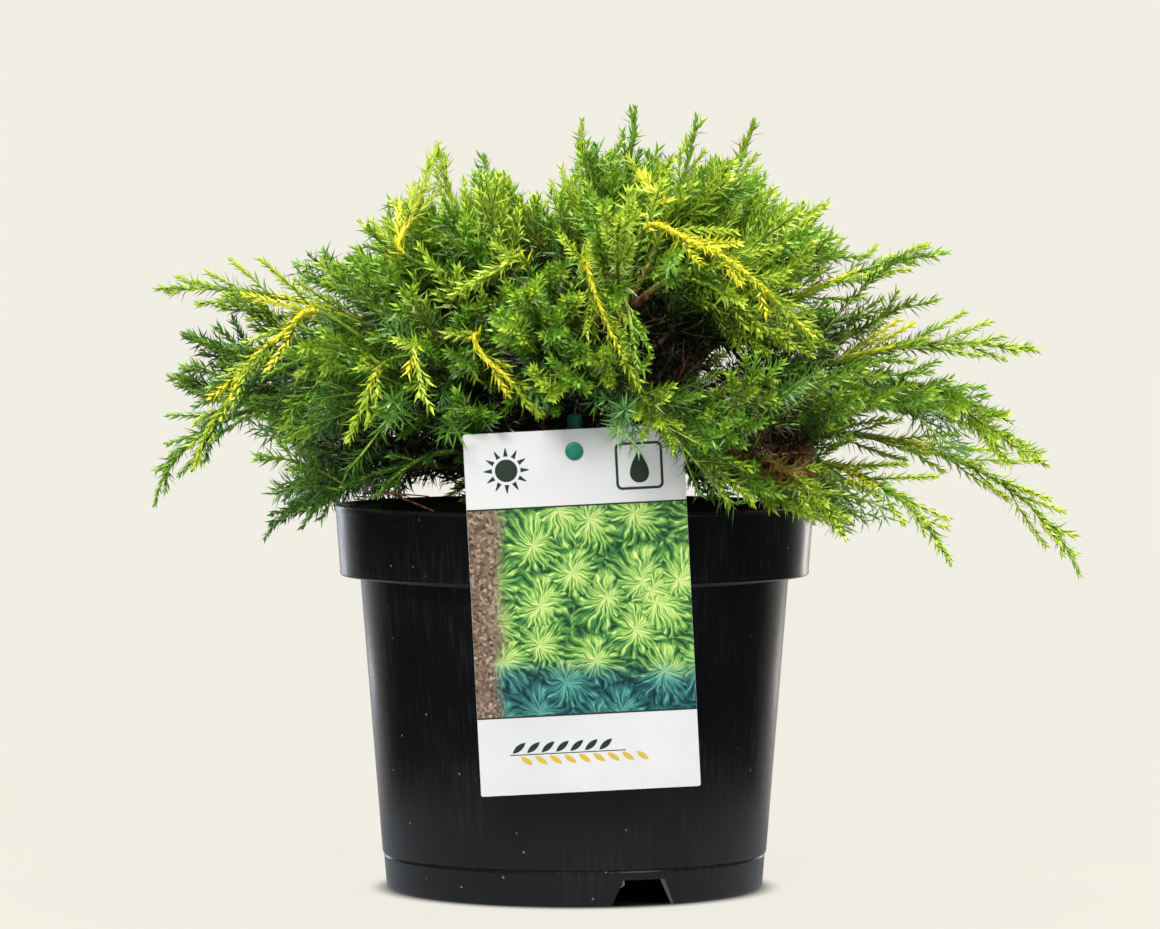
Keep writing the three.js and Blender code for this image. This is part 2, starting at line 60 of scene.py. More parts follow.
# %% Colours and nodes
def linear(code):
    """An sRGB hex colour as linear red, green, blue and alpha."""
    values = [int(code[i:i + 2], 16) / 255 for i in (1, 3, 5)]
    return [v / 12.92 if v <= 0.04045 else ((v + 0.055) / 1.055) ** 2.4 for v in values] + [1.0]


def add(tree, kind, inputs=None, **settings):
    """One node. An input is a plain value, or the output socket that feeds it."""
    node = tree.nodes.new(kind)
    for name, value in settings.items():
        setattr(node, name, value)
    for key, value in (inputs or {}).items():
        if isinstance(value, bpy.types.NodeSocket):
            tree.links.new(value, node.inputs[key])
        else:
            node.inputs[key].default_value = value
    return node


def calc(tree, operation, first, second):
    """Arithmetic on two values."""
    return add(tree, "ShaderNodeMath", {0: first, 1: second}, operation=operation).outputs[0]


def vector_calc(tree, operation, first, second):
    """Arithmetic on two vectors, or on a vector and its scale."""
    key = "Scale" if operation == "SCALE" else 1
    return add(tree, "ShaderNodeVectorMath", {0: first, key: second}, operation=operation).outputs[0]


def length_in(tree, place):
    """How far a place is from the origin."""
    return add(tree, "ShaderNodeVectorMath", {0: place}, operation="LENGTH").outputs["Value"]


def graded(tree, value, start, end, low=0.0, high=1.0, **settings):
    """Goes from low to high while the value goes from start to end."""
    limits = {"Value": value, "From Min": start, "From Max": end, "To Min": low, "To Max": high}
    return add(tree, "ShaderNodeMapRange", limits, **settings).outputs[0]


def on_object(tree, **change):
    """A place on the object, moved or scaled by a Mapping node if a change is given."""
    place = add(tree, "ShaderNodeTexCoord").outputs["Object"]
    return add(tree, "ShaderNodeMapping", {"Vector": place, **change}).outputs[0] if change else place


def noise(tree, place, scale, detail=2.0):
    """Soft patches from 0 to 1."""
    return add(tree, "ShaderNodeTexNoise", {"Vector": place, "Scale": scale, "Detail": detail}).outputs["Fac"]


def cells(tree, place, scale, **settings):
    """A pattern of cells: the outputs Distance, Color and Position."""
    return add(tree, "ShaderNodeTexVoronoi", {"Vector": place, "Scale": scale}, **settings).outputs


def blend(tree, factor, first, second):
    """The first colour where the factor is 0, the second where it is 1."""
    return add(tree, "ShaderNodeMix", {"Factor": factor, 6: first, 7: second}, data_type="RGBA").outputs[2]


def ramp(tree, factor, stops):
    """A colour ramp with its stops as (place, hex colour)."""
    node = add(tree, "ShaderNodeValToRGB", {"Fac": factor})
    elements = node.color_ramp.elements
    elements[0].position, elements[-1].position = stops[0][0], stops[-1][0]
    for place, _ in stops[1:-1]:
        elements.new(place)
    for element, (_, colour) in zip(sorted(elements, key=lambda e: e.position), stops):
        element.color = linear(colour)
    return node.outputs["Color"]


def finish_of(name, base, roughness, **sockets):
    """A material with one Principled surface, and its node tree."""
    material = bpy.data.materials.new(name)
    material.use_nodes = True
    surface = material.node_tree.nodes["Principled BSDF"]
    for key, value in {"Base Color": linear(base), "Roughness": roughness, **sockets}.items():
        surface.inputs[key.replace("_", " ")].default_value = value
    return material, material.node_tree


def feed(tree, **outputs):
    """Links outputs to the inputs of the tree's Principled surface."""
    for key, output in outputs.items():
        tree.links.new(output, tree.nodes["Principled BSDF"].inputs[key.replace("_", " ")])


def relief(tree, height, strength, distance):
    """Relief too fine to model, its depth in metres."""
    bump = add(tree, "ShaderNodeBump", {"Height": height, "Strength": strength, "Distance": distance})
    feed(tree, Normal=bump.outputs[0])


print("gold shoots are", [round(v, 3) for v in linear("#b9b62c")], "in linear light")


# %% Meshes and Geometry Nodes
def placed(name, data):
    """A new object at the origin."""
    piece = bpy.data.objects.new(name, data)
    bpy.context.collection.objects.link(piece)
    return piece


def mesh_piece(name, vertices, faces, material=None, smooth=True):
    """A mesh object with its place in its vertices."""
    mesh = bpy.data.meshes.new(name)
    mesh.from_pydata([tuple(v) for v in vertices], [], [tuple(f) for f in faces])
    if material:
        mesh.materials.append(material)
    mesh.polygons.foreach_set("use_smooth", [smooth] * len(mesh.polygons))
    return placed(name, mesh)


def mesh_of(bm, name):
    """A mesh from an edit mesh, which is freed."""
    mesh = bpy.data.meshes.new(name)
    bm.to_mesh(mesh)
    bm.free()
    return mesh


def outward(piece):
    """Turns all faces of a closed mesh to look outwards."""
    bm = bmesh.new()
    bm.from_mesh(piece.data)
    bmesh.ops.recalc_face_normals(bm, faces=bm.faces)
    bm.to_mesh(piece.data)
    bm.free()
    return piece


def dress(piece, slot, *nodes):
    """The piece rides on the part's one body and stands for CAD nodes, which it hides. slot is not used."""
    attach(piece, "root")
    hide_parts(*nodes)


def plain_mesh(piece):
    """Turns what the modifiers make into the piece's own mesh, and takes the modifiers off."""
    mesh = bpy.data.meshes.new_from_object(piece.evaluated_get(bpy.context.evaluated_depsgraph_get()))
    piece.modifiers.clear()
    old, piece.data = piece.data, mesh
    bpy.data.meshes.remove(old)
    mesh.name = piece.name


def geometry_tree(name, result, **sockets):
    """A Geometry Nodes tree with named inputs and one result, and the sockets that bring the inputs in."""
    tree = bpy.data.node_groups.new(name, "GeometryNodeTree")
    for word, kind in sockets.items():
        tree.interface.new_socket(word.replace("_", " "), in_out="INPUT", socket_type="NodeSocket" + kind)
    tree.interface.new_socket(result, in_out="OUTPUT", socket_type="NodeSocketGeometry")
    return tree, add(tree, "NodeGroupInput").outputs


def on_points(tree, name, data_type="FLOAT_VECTOR"):
    """What each point knows under this name."""
    return add(tree, "GeometryNodeInputNamedAttribute", {"Name": name}, data_type=data_type).outputs[0]


def close_tree(tree, geometry, finish):
    """Ends a tree with real geometry in its finish."""
    real = add(tree, "GeometryNodeRealizeInstances", {"Geometry": geometry}).outputs[0]
    coat = add(tree, "GeometryNodeSetMaterial", {"Geometry": real, "Material": finish}).outputs[0]
    add(tree, "NodeGroupOutput", {0: coat})
    return tree


def grow(piece, tree, **inputs):
    """Runs a tree on a piece with these inputs, and keeps what it makes as the piece's own mesh."""
    modifier = piece.modifiers.new(tree.name, "NODES")
    modifier.node_group = tree
    for item in tree.interface.items_tree:
        if item.name.replace(" ", "_") in inputs:
            modifier[item.identifier] = inputs[item.name.replace(" ", "_")]
    plain_mesh(piece)


print("pieces are made in the collection", bpy.context.collection.name)

# %% [markdown]
# ## How a juniper limb grows
#
# A limb leaves the short trunk at a steep angle, arches out over the rim of the pot and ends in a
# drooping or upright tip. The CAD source holds one table of limbs and one seeded rule for the sprays that
# leave them. Both are written again here, in millimetres, so that every spray stands where its CAD mass
# has one, and the rule can simply go on to more sprays and to finer twigs.

# %% The limbs: name, azimuth, reach, tip height, tip pitch, root height, rise, and arch where it is above 1
BOUGH_LIMBS = [
    ("low_right", -7, 200, 126, -68, 151.5, 38),
    ("low_right_front", -35, 174, 134, -62, 146, 32),
    ("low_front_right", -53, 168, 145, -50, 151.5, 34),
    ("low_front_left", -126, 126, 160, -38, 151.5, 30),
    ("low_left_front", -145, 128, 146, -52, 146, 34),
    ("low_left", -171, 124, 139, -58, 151.5, 32),
    ("low_back_left", 140, 158, 150, -48, 146, 34),
    ("low_back", 97, 168, 147, -50, 151.5, 34),
    ("low_back_right", 48, 170, 150, -48, 146, 34),
    ("front", -76, 152, 178, -38, 157, 60),
    ("left_gold", -161, 157, 167, -66, 157, 44, 1.55),
    ("right_mid", 3, 186, 213, -12, 157, 34),
    ("back_mid", 76, 150, 226, -4, 157, 44),
    ("left_droop", 176.5, 168, 152, -80, 162.5, 44),
    ("front_left_gold", -97, 118, 190, -60, 162.5, 61, 1.3),
    ("right_front_mid", -23, 182, 187, -28, 162.5, 42),
    ("right_high", 18, 160, 253, 6, 162.5, 48),
    ("back_left_mid", 121, 150, 220, -6, 162.5, 46),
    ("front_gold", -79, 127, 201, -68, 168, 64.5, 1.6),
    ("front_left_mid", -128, 128, 186, -40, 168.5, 60),
    ("left_high", 171, 170, 238, -4, 168, 46),
    ("front_right_gold", -49, 140, 214, -50, 175, 68, 1.45),
    ("left_front_mid", -150, 138, 204, -28, 174, 64),
]
SHOOT_LIMBS = [
    ("right_up", 3, 100, 271, 38, 168, 62),
    ("left_up", 160, 92, 265, 36, 173.5, 64),
    ("back_up", 100, 76, 272, 50, 173.5, 66),
    ("top_far_right", 26, 80, 305, 74, 173.5, 62),
    ("top_far_left", -170, 55, 296, 78, 179, 60),
    ("top_left", 136, 50, 291, 82, 179, 62),
    ("top_back", 84, 30, 306, 76, 179, 72),
    ("top", 14, 25, 311, 86, 185.5, 80),
    ("top_right", -28, 54, 305, 82, 182, 66),
]
# the share of a limb that is bare bough, and the part of it that sprays leave
BOUGH_SHARE = 0.38
FIRST_SPRAY, LAST_SPRAY = BOUGH_SHARE + 0.06, 0.86
SPRAY_LENGTH = (34, 72)
SPRAY_TRIES = 120
# the crown's box, then its top and its underside as the front view shows them, as (side, height)
CROWN_LOW = np.array([-169.0, -149.0, 125.0])
CROWN_HIGH = np.array([200.5, 172.0, 311.5])
CROWN_TOP = np.array([
    (-170, 212), (-150, 228), (-138, 246), (-118, 252), (-90, 252), (-66, 278), (-45, 273), (-38, 288),
    (-20, 275), (-6, 278), (6, 295), (40, 291), (74, 289), (84, 270), (100, 270), (108, 252), (148, 252),
    (154, 230), (160, 200), (172, 190), (186, 172), (201, 150)])
CROWN_UNDERSIDE = np.array([
    (-170, 200), (-134, 192), (-124, 150), (-104, 139), (-84, 150), (84, 150), (105, 139), (128, 150),
    (150, 131), (160, 165), (201, 165)])
# where the front view is taken from
FRONT_VIEW = np.array([2.0, -2100.0, 237.0])
TRUNK_FOOT_Z = 138.3
TRUNK_TOP_Z = 190.0


def chance(seed):
    """The same dice as the CAD source: a number from 0 to 1 for each seed."""
    value = math.sin(seed * 12.9898 + 78.233) * 43758.5453
    return value - math.floor(value)


def between(low, high, seed):
    return low + (high - low) * chance(seed)


def direction(azimuth, pitch):
    level = math.cos(math.radians(pitch))
    turn = math.radians(azimuth)
    return np.array([level * math.cos(turn), level * math.sin(turn), math.sin(math.radians(pitch))])


def unit(v):
    return v / np.linalg.norm(v)


def about(v, axis, degrees):
    """v turned about a unit axis."""
    a = math.radians(degrees)
    return v * math.cos(a) + np.cross(axis, v) * math.sin(a) + axis * axis.dot(v) * (1 - math.cos(a))


TRUNK_LEAN = direction(-150, 86.5)


def trunk_point(z):
    return np.array([0, 0, TRUNK_FOOT_Z]) + TRUNK_LEAN * ((z - TRUNK_FOOT_Z) / TRUNK_LEAN[2])


def cubic(p, t):
    t = np.atleast_1d(t)[:, None]
    s = 1 - t
    return s ** 3 * p[0] + 3 * s * s * t * p[1] + 3 * s * t * t * p[2] + t ** 3 * p[3]


def cubic_along(p, t):
    s = 1 - t
    return unit(s * s * (p[1] - p[0]) + 2 * s * t * (p[2] - p[1]) + t * t * (p[3] - p[2]))


def steps_of(line):
    """The lengths of the steps from point to point."""
    return np.linalg.norm(np.diff(line, axis=0), axis=1)


def limb_of(row, seed):
    """The path of one limb, as the CAD source lays it."""
    name, azimuth, reach, height, pitch, start, rise, *arch = row
    root = trunk_point(start)
    tip = direction(azimuth, 0) * reach
    tip[2] = height
    swing = np.linalg.norm(root - tip) * (arch[0] if arch else 1)
    leave = direction(azimuth + between(-6, 6, seed), rise)
    arrive = direction(azimuth, pitch)
    path = [root, root + leave * swing * 0.38, tip - arrive * swing * 0.34, tip]
    return {"name": name, "seed": seed, "path": path, "tip": tip,
            "length": steps_of(cubic(path, np.linspace(0, 1, 201))).sum(),
            "normal": direction(azimuth + 90, 0), "bough": row in BOUGH_LIMBS}


LIMBS = [limb_of(row, i + 1) for i, row in enumerate(BOUGH_LIMBS + SHOOT_LIMBS)]
print(len(LIMBS), "limbs,", round(sum(limb["length"] for limb in LIMBS) / 1000, 2), "m of them")

# %% [markdown]
# ## Sprays, twigs and where they may grow
#
# A spray is a side shoot that leaves the limb at 34 to 62 degrees and bends on towards its tip. Twigs
# leave a spray in the same way, a third of its length each, turned by the golden angle from one to the
# next, so none stands above another. A shoot that would run into the pot, the card or the peg is left out.

# %% Lines of points, and the seeded rules for sprays and twigs
GOLDEN_ANGLE = 137.5
# points from one given place of a smooth line to the next
RUN = 8


def shoot_line(root, middle, tip, count):
    """A bend of count points from root to tip."""
    t = np.linspace(0, 1, count)[:, None]
    return (1 - t) ** 2 * root + 2 * (1 - t) * t * middle + t * t * tip


def through(places):
    """A smooth line of points through places."""
    p = np.vstack([2 * places[0] - places[1], places, 2 * places[-1] - places[-2]])
    t = np.linspace(0, 1, RUN, endpoint=False)[:, None]
    runs = [0.5 * (2 * b + (c - a) * t + (2 * a - 5 * b + 4 * c - d) * t ** 2
                   + (3 * b - a - 3 * c + d) * t ** 3)
            for a, b, c, d in zip(p, p[1:], p[2:], p[3:])]
    return np.vstack(runs + [p[-2:-1]])


def walk(line, spacing, start=0.0, end=1.0):
    """Places, directions and shares at equal steps along a line of points."""
    reach = np.concatenate([[0], np.cumsum(steps_of(line))])
    length = reach[-1]

    def place_at(distance):
        return np.stack([np.interp(distance, reach, line[:, k]) for k in range(3)], axis=1)

    at = np.arange(start * length, end * length, spacing)
    along = place_at(at + 0.6) - place_at(at - 0.6)
    along /= np.linalg.norm(along, axis=1)[:, None]
    return place_at(at), along, at / length


def spray_of(limb, attempt):
    """One side spray by the source's rule: its path, and where on the limb it starts."""
    dice = limb["seed"] * 1000 + attempt * 10
    t = between(FIRST_SPRAY, LAST_SPRAY, dice + 1)
    along = cubic_along(limb["path"], t)
    turn = attempt * GOLDEN_ANGLE + between(-20, 20, dice + 2)
    out = about(limb["normal"], along, turn)
    spread = math.radians(between(34, 62, dice + 3))
    leave = along * math.cos(spread) + out * math.sin(spread)
    arrive = unit(leave * 0.5 + along * 0.5)
    wish = between(0.34, 0.52, dice + 4) * limb["length"] * (1.25 - 0.6 * t)
    size = min(max(wish, SPRAY_LENGTH[0]), SPRAY_LENGTH[1]) * (1 - 0.5 * attempt / SPRAY_TRIES)
    root = cubic(limb["path"], t)[0]
    middle = root + leave * size * 0.55
    return shoot_line(root, middle, middle + arrive * size * 0.5, 9), t


def twigs_on(line, seed, spacing, start, end, size_at, angles):
    """Twigs along a line, each as (path, share of the line at its root)."""
    twigs = []
    places, alongs, shares = walk(line, spacing, start, end)
    for k, (place, along, share) in enumerate(zip(places, alongs, shares)):
        dice = seed * 100 + k * 7
        side = unit(np.cross(along, [0.3, 0.2, 1.0]))
        out = about(side, along, k * GOLDEN_ANGLE + between(-25, 25, dice + 1))
        angle = math.radians(between(*angles, dice + 2))
        size = size_at(share) * between(0.7, 1.25, dice + 3)
        leave = along * math.cos(angle) + out * math.sin(angle)
        arrive = unit(leave * 0.6 + along * 0.4 + np.array([0, 0, 0.1]))
        middle = place + leave * size * 0.5
        twigs.append((shoot_line(place, middle, middle + arrive * size * 0.5, 4), share))
    return twigs


first_spray, first_share = spray_of(LIMBS[0], 0)
print("the first spray leaves its limb at", round(first_share, 2), "of its length")

# %% Where a shoot has room
LABEL_CENTRE = np.array([2.9, -95.8, 115.9])
LABEL_TURN = -2.9
PEG_Y = -77
# the space that each thing takes: the pot's radius and height, the card's half width, half height and half
# depth, and the peg's radius and height
POT_SPACE = (97, 154)
CARD_SPACE = (41.8, 69, 2)
PEG_SPACE = (3, 192)
# no shoot hangs before the card within this half width and below this height, but for its top right corner
CARD_VIEW = (44, 68)
CARD_CORNER = (17, 56)
# the openings as the front view shows them: side, height, half width, half height, and how far back
# each is kept clear: the dark hollow, the gap over the rim, the peg's top, then windows of sky right
# through the crown
HOLLOWS = (
    (40, 211, 15, 13, -20), (-61, 168, 20, 11, -35), (0, 191, 7, 8, -74),
    (112, 170, 12, 8, 200), (137, 206, 10, 6, 200), (-137, 180, 9, 8, 200),
    (134, 243, 13, 3.5, 200), (137, 226, 13, 3.5, 200), (-150, 227, 11, 4, 200), (122, 186, 9, 5, 200),
)
# the dead patch in the same view: side, height, half width, half height, and how far forward it stands
DEAD_PATCH = (82, 173.5, 11, 10)
DEAD_PATCH_FRONT = -78
shown = {"side": np.zeros(0), "height": np.zeros(0), "depth": np.zeros(0)}


def from_the_front(points):
    """Distance to the side and height of points, as the front view sees them."""
    nearness = -FRONT_VIEW[1] / (points[:, 1] - FRONT_VIEW[1])
    return (FRONT_VIEW[0] + (points[:, 0] - FRONT_VIEW[0]) * nearness,
            FRONT_VIEW[2] + (points[:, 2] - FRONT_VIEW[2]) * nearness)


def seen_at(side, height, depth):
    """The place at this depth that the front view shows at this side and height."""
    nearness = (depth - FRONT_VIEW[1]) / -FRONT_VIEW[1]
    return np.array([FRONT_VIEW[0] + (side - FRONT_VIEW[0]) * nearness, depth,
                     FRONT_VIEW[2] + (height - FRONT_VIEW[2]) * nearness])


def on_card(x, z):
    """Places across and up the card, from its middle."""
    c, s = math.cos(math.radians(-LABEL_TURN)), math.sin(math.radians(-LABEL_TURN))
    x, z = x - LABEL_CENTRE[0], z - LABEL_CENTRE[2]
    return c * x + s * z, -s * x + c * z


def grows_clear(points, margin=3.0):
    """True where a shoot keeps inside the crown and off the pot, the card and the peg."""
    x, y, z = points.T
    inside = np.all(points > CROWN_LOW + 2, axis=1) & np.all(points < CROWN_HIGH - 2, axis=1)
    pot = (np.hypot(x, y) < POT_SPACE[0] + margin) & (z < POT_SPACE[1] + margin)
    peg = (np.hypot(x, y - PEG_Y) < PEG_SPACE[0] + margin) & (z < PEG_SPACE[1] + margin)
    away = np.abs([*on_card(x, z), y - LABEL_CENTRE[1]])
    card = np.all(away < np.array(CARD_SPACE)[:, None] + margin, axis=0)
    across, up = on_card(*from_the_front(points))
    before_card = (y < LABEL_CENTRE[1]) & (abs(across) < CARD_VIEW[0]) & (up < CARD_VIEW[1])
    corner = (across > CARD_CORNER[0]) & (up > CARD_CORNER[1])
    return bool(np.all(inside & ~pot & ~peg & ~card & ~(before_card & ~corner)))


def in_outline(points, ease=0.0):
    """True where a shoot keeps between the crown's top and its underside, seen from the front."""
    x, z = from_the_front(points)
    top = np.interp(x, CROWN_TOP[:, 0], CROWN_TOP[:, 1])
    low = np.interp(x, CROWN_UNDERSIDE[:, 0], CROWN_UNDERSIDE[:, 1])
    return bool(np.all((z < top + ease) & (z > low - ease)))


def in_oval(points, side, height, wide, high):
    """Marks the points that the front view shows in an oval."""
    x, z = from_the_front(points)
    return np.hypot((x - side) / wide, (z - height) / high) < 1


def before_dead_patch(points, ease=0.0):
    """Marks the points that stand before the dead patch."""
    side, height, wide, high = DEAD_PATCH
    return in_oval(points, side, height, wide + ease, high + ease) & (points[:, 1] < DEAD_PATCH_FRONT)


def show(line):
    """Keeps the view of a gold leader open from now on."""
    side, height = from_the_front(line)
    for key, values in (("side", side), ("height", height), ("depth", line[:, 1])):
        shown[key] = np.concatenate([shown[key], values])


def before_leader(points, gap, ease):
    """Marks the points that stand before a gold leader, as the front view sees it."""
    x, z = from_the_front(points)
    apart = np.hypot(x[:, None] - shown["side"], z[:, None] - shown["height"])
    return np.any((apart < gap) & (points[:, 1:2] < shown["depth"] + ease), axis=1)


def leaves_view_open(points):
    """False for a shoot that would hang before a gold leader, or across a dark hollow of the crown."""
    if any(np.any(in_oval(points, *oval) & (points[:, 1] < back)) for *oval, back in HOLLOWS):
        return False
    return not np.any(before_leader(points, gap=5.5, ease=4))


def has_room(points, margin=3.0, ease=0.0):
    """True where a shoot grows clear, keeps inside the outline and hides nothing that has to show."""
    return grows_clear(points, margin) and in_outline(points, ease) and leaves_view_open(points)


print("the first spray has room:", has_room(first_spray))

# %% [markdown]
# ## Colours dealt out by spray
#
# This juniper is grown for its gold: a stretch of some of last year's leaders is butter yellow, the fresh
# tips are lime, and the older needles inside the bush are deep or bluish green. A colour belongs to a whole
# spray, so each spray draws one kind of needle, by its limb, its height and its depth in the bush. The dark
# kinds dealt low, inside and on the left are partly painted shade, and the extra lime at the top and low on
# the right is partly painted light.

# %% The kind and the tone of needles
# the part of a limb that is gold, in shares of its length
GOLD_STRETCHES = {
    "left_high": (0.54, 0.74), "right_high": (0.60, 0.78), "right_mid": (0.58, 0.72),
    "low_right": (0.54, 0.64), "low_right_front": (0.60, 0.70), "top_right": (0.35, 0.55),
}
# kinds of needle, each up to a roll of the dice. The mixes low on the bush, inside it and in the shade on the
# left deal dark kinds, as older needles and as painted shade; the mix low on the right deals more lime, as
# painted light
IN_SHADE = (("bluish", 0.14), ("deep", 0.56), ("green", 0.95), ("lime", 1))
LOW_ON_THE_RIGHT = (("bluish", 0.06), ("deep", 0.26), ("green", 0.6), ("lime", 1))
LOW = (("bluish", 0.1), ("deep", 0.4), ("green", 0.9), ("lime", 1))
INSIDE = (("bluish", 0.1), ("deep", 0.5), ("green", 1))
IN_THE_MIDDLE = (("green", 0.3), ("deep", 0.86), ("bluish", 1))
GOLD_CHANCE = 0.07
# side, height and radius on the front view where sprays of the bush's front are dead
DEAD_TWIGS = (81.0, 173.5, 11.0)


def in_dead_patch(tip):
    """True for a spray that ends in the dead patch, on the bush's front."""
    side, height, radius = DEAD_TWIGS
    return tip[1] < -60 and in_oval(tip[None, :], side, height, radius, radius)[0]


def in_shade(tip):
    """True for a spray low on the left, where the bush is thin and in shade. The needles are old there, and
    the dark kinds dealt to them are painted shade as well.
    """
    x, z = (values[0] for values in from_the_front(tip[None, :]))
    return -138 < x < -36 and z < 206 and tip[1] < (90 if x < -60 else 20)


def drawn(roll, mix):
    """The kind that a roll of the dice draws from a mix."""
    return next(kind for kind, limit in mix if roll < limit)


def kind_of(limb, t, tip, seed):
    """The kind of needle that a spray wears."""
    roll = chance(seed * 3.7)
    if in_shade(tip):
        return drawn(roll, IN_SHADE)
    if in_dead_patch(tip):
        return "dead"
    low, high = GOLD_STRETCHES.get(limb["name"], (2, 2))
    if low <= t <= high and roll < GOLD_CHANCE:
        return "gold"
    outer = np.hypot(tip[0], tip[1]) / 150
    height = (tip[2] - 140) / 170
    # low on the bush, then inside it, then on its outer face, which is fresher at the top and on the right,
    # and painted lighter there, where more light falls
    if height < 0.3:
        return drawn(roll, LOW_ON_THE_RIGHT if tip[0] > 60 else LOW)
    if outer < 0.45 and height < 0.6:
        return drawn(roll, INSIDE)
    lime_share = 0.6 if height > 0.72 else 0.5 if tip[0] > 60 else 0.18 if outer < 0.6 else 0.3
    return drawn(roll, (("lime", lime_share), ("green", 0.92), ("deep", 1)))


def grade(value, start, end):
    """From 0 where the value is at start to 1 where it is at end, and no further."""
    return np.clip((value - start) / (end - start), 0, 1)


def painted_light_reach(points):
    """From 0 deep inside the bush to 1 at its outer face: how far the light reaches, for painted shade. Low
    over the rim of the pot the shade is painted deeper.
    """
    x, y, z = points.T
    share = np.linalg.norm((points - [15, 8, 176]) / [185, 158, 96], axis=1)
    shade_near_pot = grade(z, 185, 140) * grade(np.hypot(x, y), 125, 85) * (0.6 - 0.35 * grade(x, 40, 70))
    return grade(share, 0.49, 0.84) * (1 - shade_near_pot)


def painted_light_by_place(points):
    """How much needles are painted paler at the top of the bush and far out low on its right, where more
    light falls, and deeper on its left, where it is shaded. The tips that stand highest and furthest to the
    left are darker and olive."""
    x, _, z = points.T
    top = 0.34 * grade(z, 232, 272)
    low_right = 0.3 * grade(x, 80, 120) * grade(z, 205, 175)
    left = 0.06 * grade(x, -50, -100)
    tips = 0.4 * grade(z, 280, 296) + 0.14 * grade(x, -128, -148)
    return top + low_right - left - tips


print("the first spray is", kind_of(LIMBS[0], first_share, first_spray[-1], 1000))

# %% [markdown]
# ## Needles on their shoots
#
# Needles leave a shoot in threes. On old wood they stand wide open, and towards a young tip they close on
# the stem. A habit says how they stand, and is given once for each kind of shoot.

# %% Needles and twigs on one shoot
needles = {kind: [] for kind in ("gold", "lime", "green", "deep", "bluish", "dead")}
# lines of stems, each with its radius at the start and at the end
wood = []
gold_wood = []
uneven = np.random.default_rng(11)
# how far out from the middle of its stem a needle starts
STEM_SKIN = 0.35


def habit(leans=(60, 30), lengths=(6.8, 5.0), widths=(1.0, 1.45), spacing=2.1):
    """How needles stand where a shoot is open and where it is shut: their lean from the stem in degrees,
    their length and their width, then the step from one whorl to the next."""
    return leans, lengths, widths, spacing


YOUNG = habit()
YOUNG_TWIG = habit(leans=(58, 30))
OLD = habit((66, 46), (7.8, 6.6), (0.85, 0.95), 2.6)
ON_LIMB = habit((48, 22), (6.2, 4.3), (1.05, 1.45))
ON_TIP_TWIG = habit((54, 26), (6.3, 4.5))
ON_GOLD_STRETCH = habit((40, 22), (5.6, 4.6), (1.4, 1.5))
ON_LEADER = habit((50, 26), (5.9, 4.6), (1.35, 1.5))


def wear(line, kind, seed, start, end, tone, open_to, style, leader=False):
    """Needles in threes along a line. They stand open up to the share open_to, then close on the stem,
    and get shorter and broader. Only a leader's own needles may stand before it, and what stands before
    the dead patch is dead too. Each row: place, needle's way, stem's way, width, length and tone."""
    leans, lengths, widths, spacing = style
    places, along, share = walk(line, spacing, start, end)
    count = len(places)
    if not count:
        return
    run = (share - share[0]) / max(1e-6, 1 - share[0])
    shut = np.clip((run - open_to * 0.5) / max(0.05, open_to), 0, 1)
    lean_here, long_here, wide = (first + (last - first) * shut for first, last in (leans, lengths, widths))
    side = np.cross(along, [0.31, 0.22, 0.93])
    side /= np.linalg.norm(side, axis=1)[:, None]
    over = np.cross(along, side)
    kept = leader | ~before_leader(places, gap=3.4, ease=1)
    dead = before_dead_patch(places, 1.0) | (kind == "dead")
    straw = 0.1 + 0.75 * grade(from_the_front(places)[1], 175, 169)
    for k in range(3):
        # each whorl is turned by 60 degrees on the one below it
        turn = np.radians(60.0 * np.arange(count) + 120 * k + uneven.uniform(-16, 16, count)) + seed
        lean = np.radians(lean_here + uneven.uniform(-7, 7, count))
        out = side * np.cos(turn)[:, None] + over * np.sin(turn)[:, None]
        way = along * np.cos(lean)[:, None] + out * np.sin(lean)[:, None]
        long = long_here * uneven.uniform(0.82, 1.15, count) * (1 - 0.35 * grade(run, 0.85, 1))
        # needles are painted darker towards the base of each shoot, as shade near the stem and as older
        # needles
        toned = np.clip(tone + 0.5 * run - 0.28 + uneven.uniform(-0.08, 0.08, count), 0, 1)
        # then painted paler or deeper by place, as the light falls, and darker into painted shade deep inside
        # the bush and over the pot
        toned = (toned + painted_light_by_place(places)) * (0.05 + 0.95 * painted_light_reach(places))
        toned = np.where(dead, straw + uneven.uniform(-0.1, 0.1, count), toned)
        rows = np.column_stack([places + out * STEM_SKIN, way, along, wide, long, toned])
        needles[kind].append(rows[kept & ~dead])
        needles["dead"].append(rows[kept & dead])


def grow_twig(twig, kind, seed, tone, open_to, style, radius=0.5, leader=False):
    """A twig in needles from its root to its tip, and its stem."""
    wear(twig, kind, seed, 0.06, 1.0, tone, open_to, style, leader)
    wood.append((twig[[0, 1, 3]], radius, 0.25))


def grow_spray(line, kind, seed, radius, tone):
    """A spray's own needles and its twigs. Old wood inside the bush keeps its needles open."""
    length = steps_of(line).sum()
    old = kind in ("deep", "bluish")
    wear(line, kind, seed, 0.05, 1.0, tone, open_to=0.9 if old else 0.6, style=OLD if old else YOUNG)
    wood.append((line[::2], 0.8 * radius, 0.3))
    twigs = twigs_on(line, seed, spacing=8.6, start=0.10, end=0.9, angles=(30, 52) if old else (22, 40),
                     size_at=lambda u: min(24, max(9, length * (0.44 - 0.26 * u))))
    # twigs nearer the spray's root get a lower tone: painted shade, and older growth
    for k, (twig, share) in enumerate(twigs):
        if has_room(twig, 2.0, 2.0):
            grow_twig(twig, kind, seed + k, tone + 0.35 * share - 0.14, open_to=0.8 if old else 0.35,
                      style=OLD if old else YOUNG_TWIG, radius=0.45)


print("habits: old needles lean", OLD[0], "degrees, young ones", YOUNG[0])

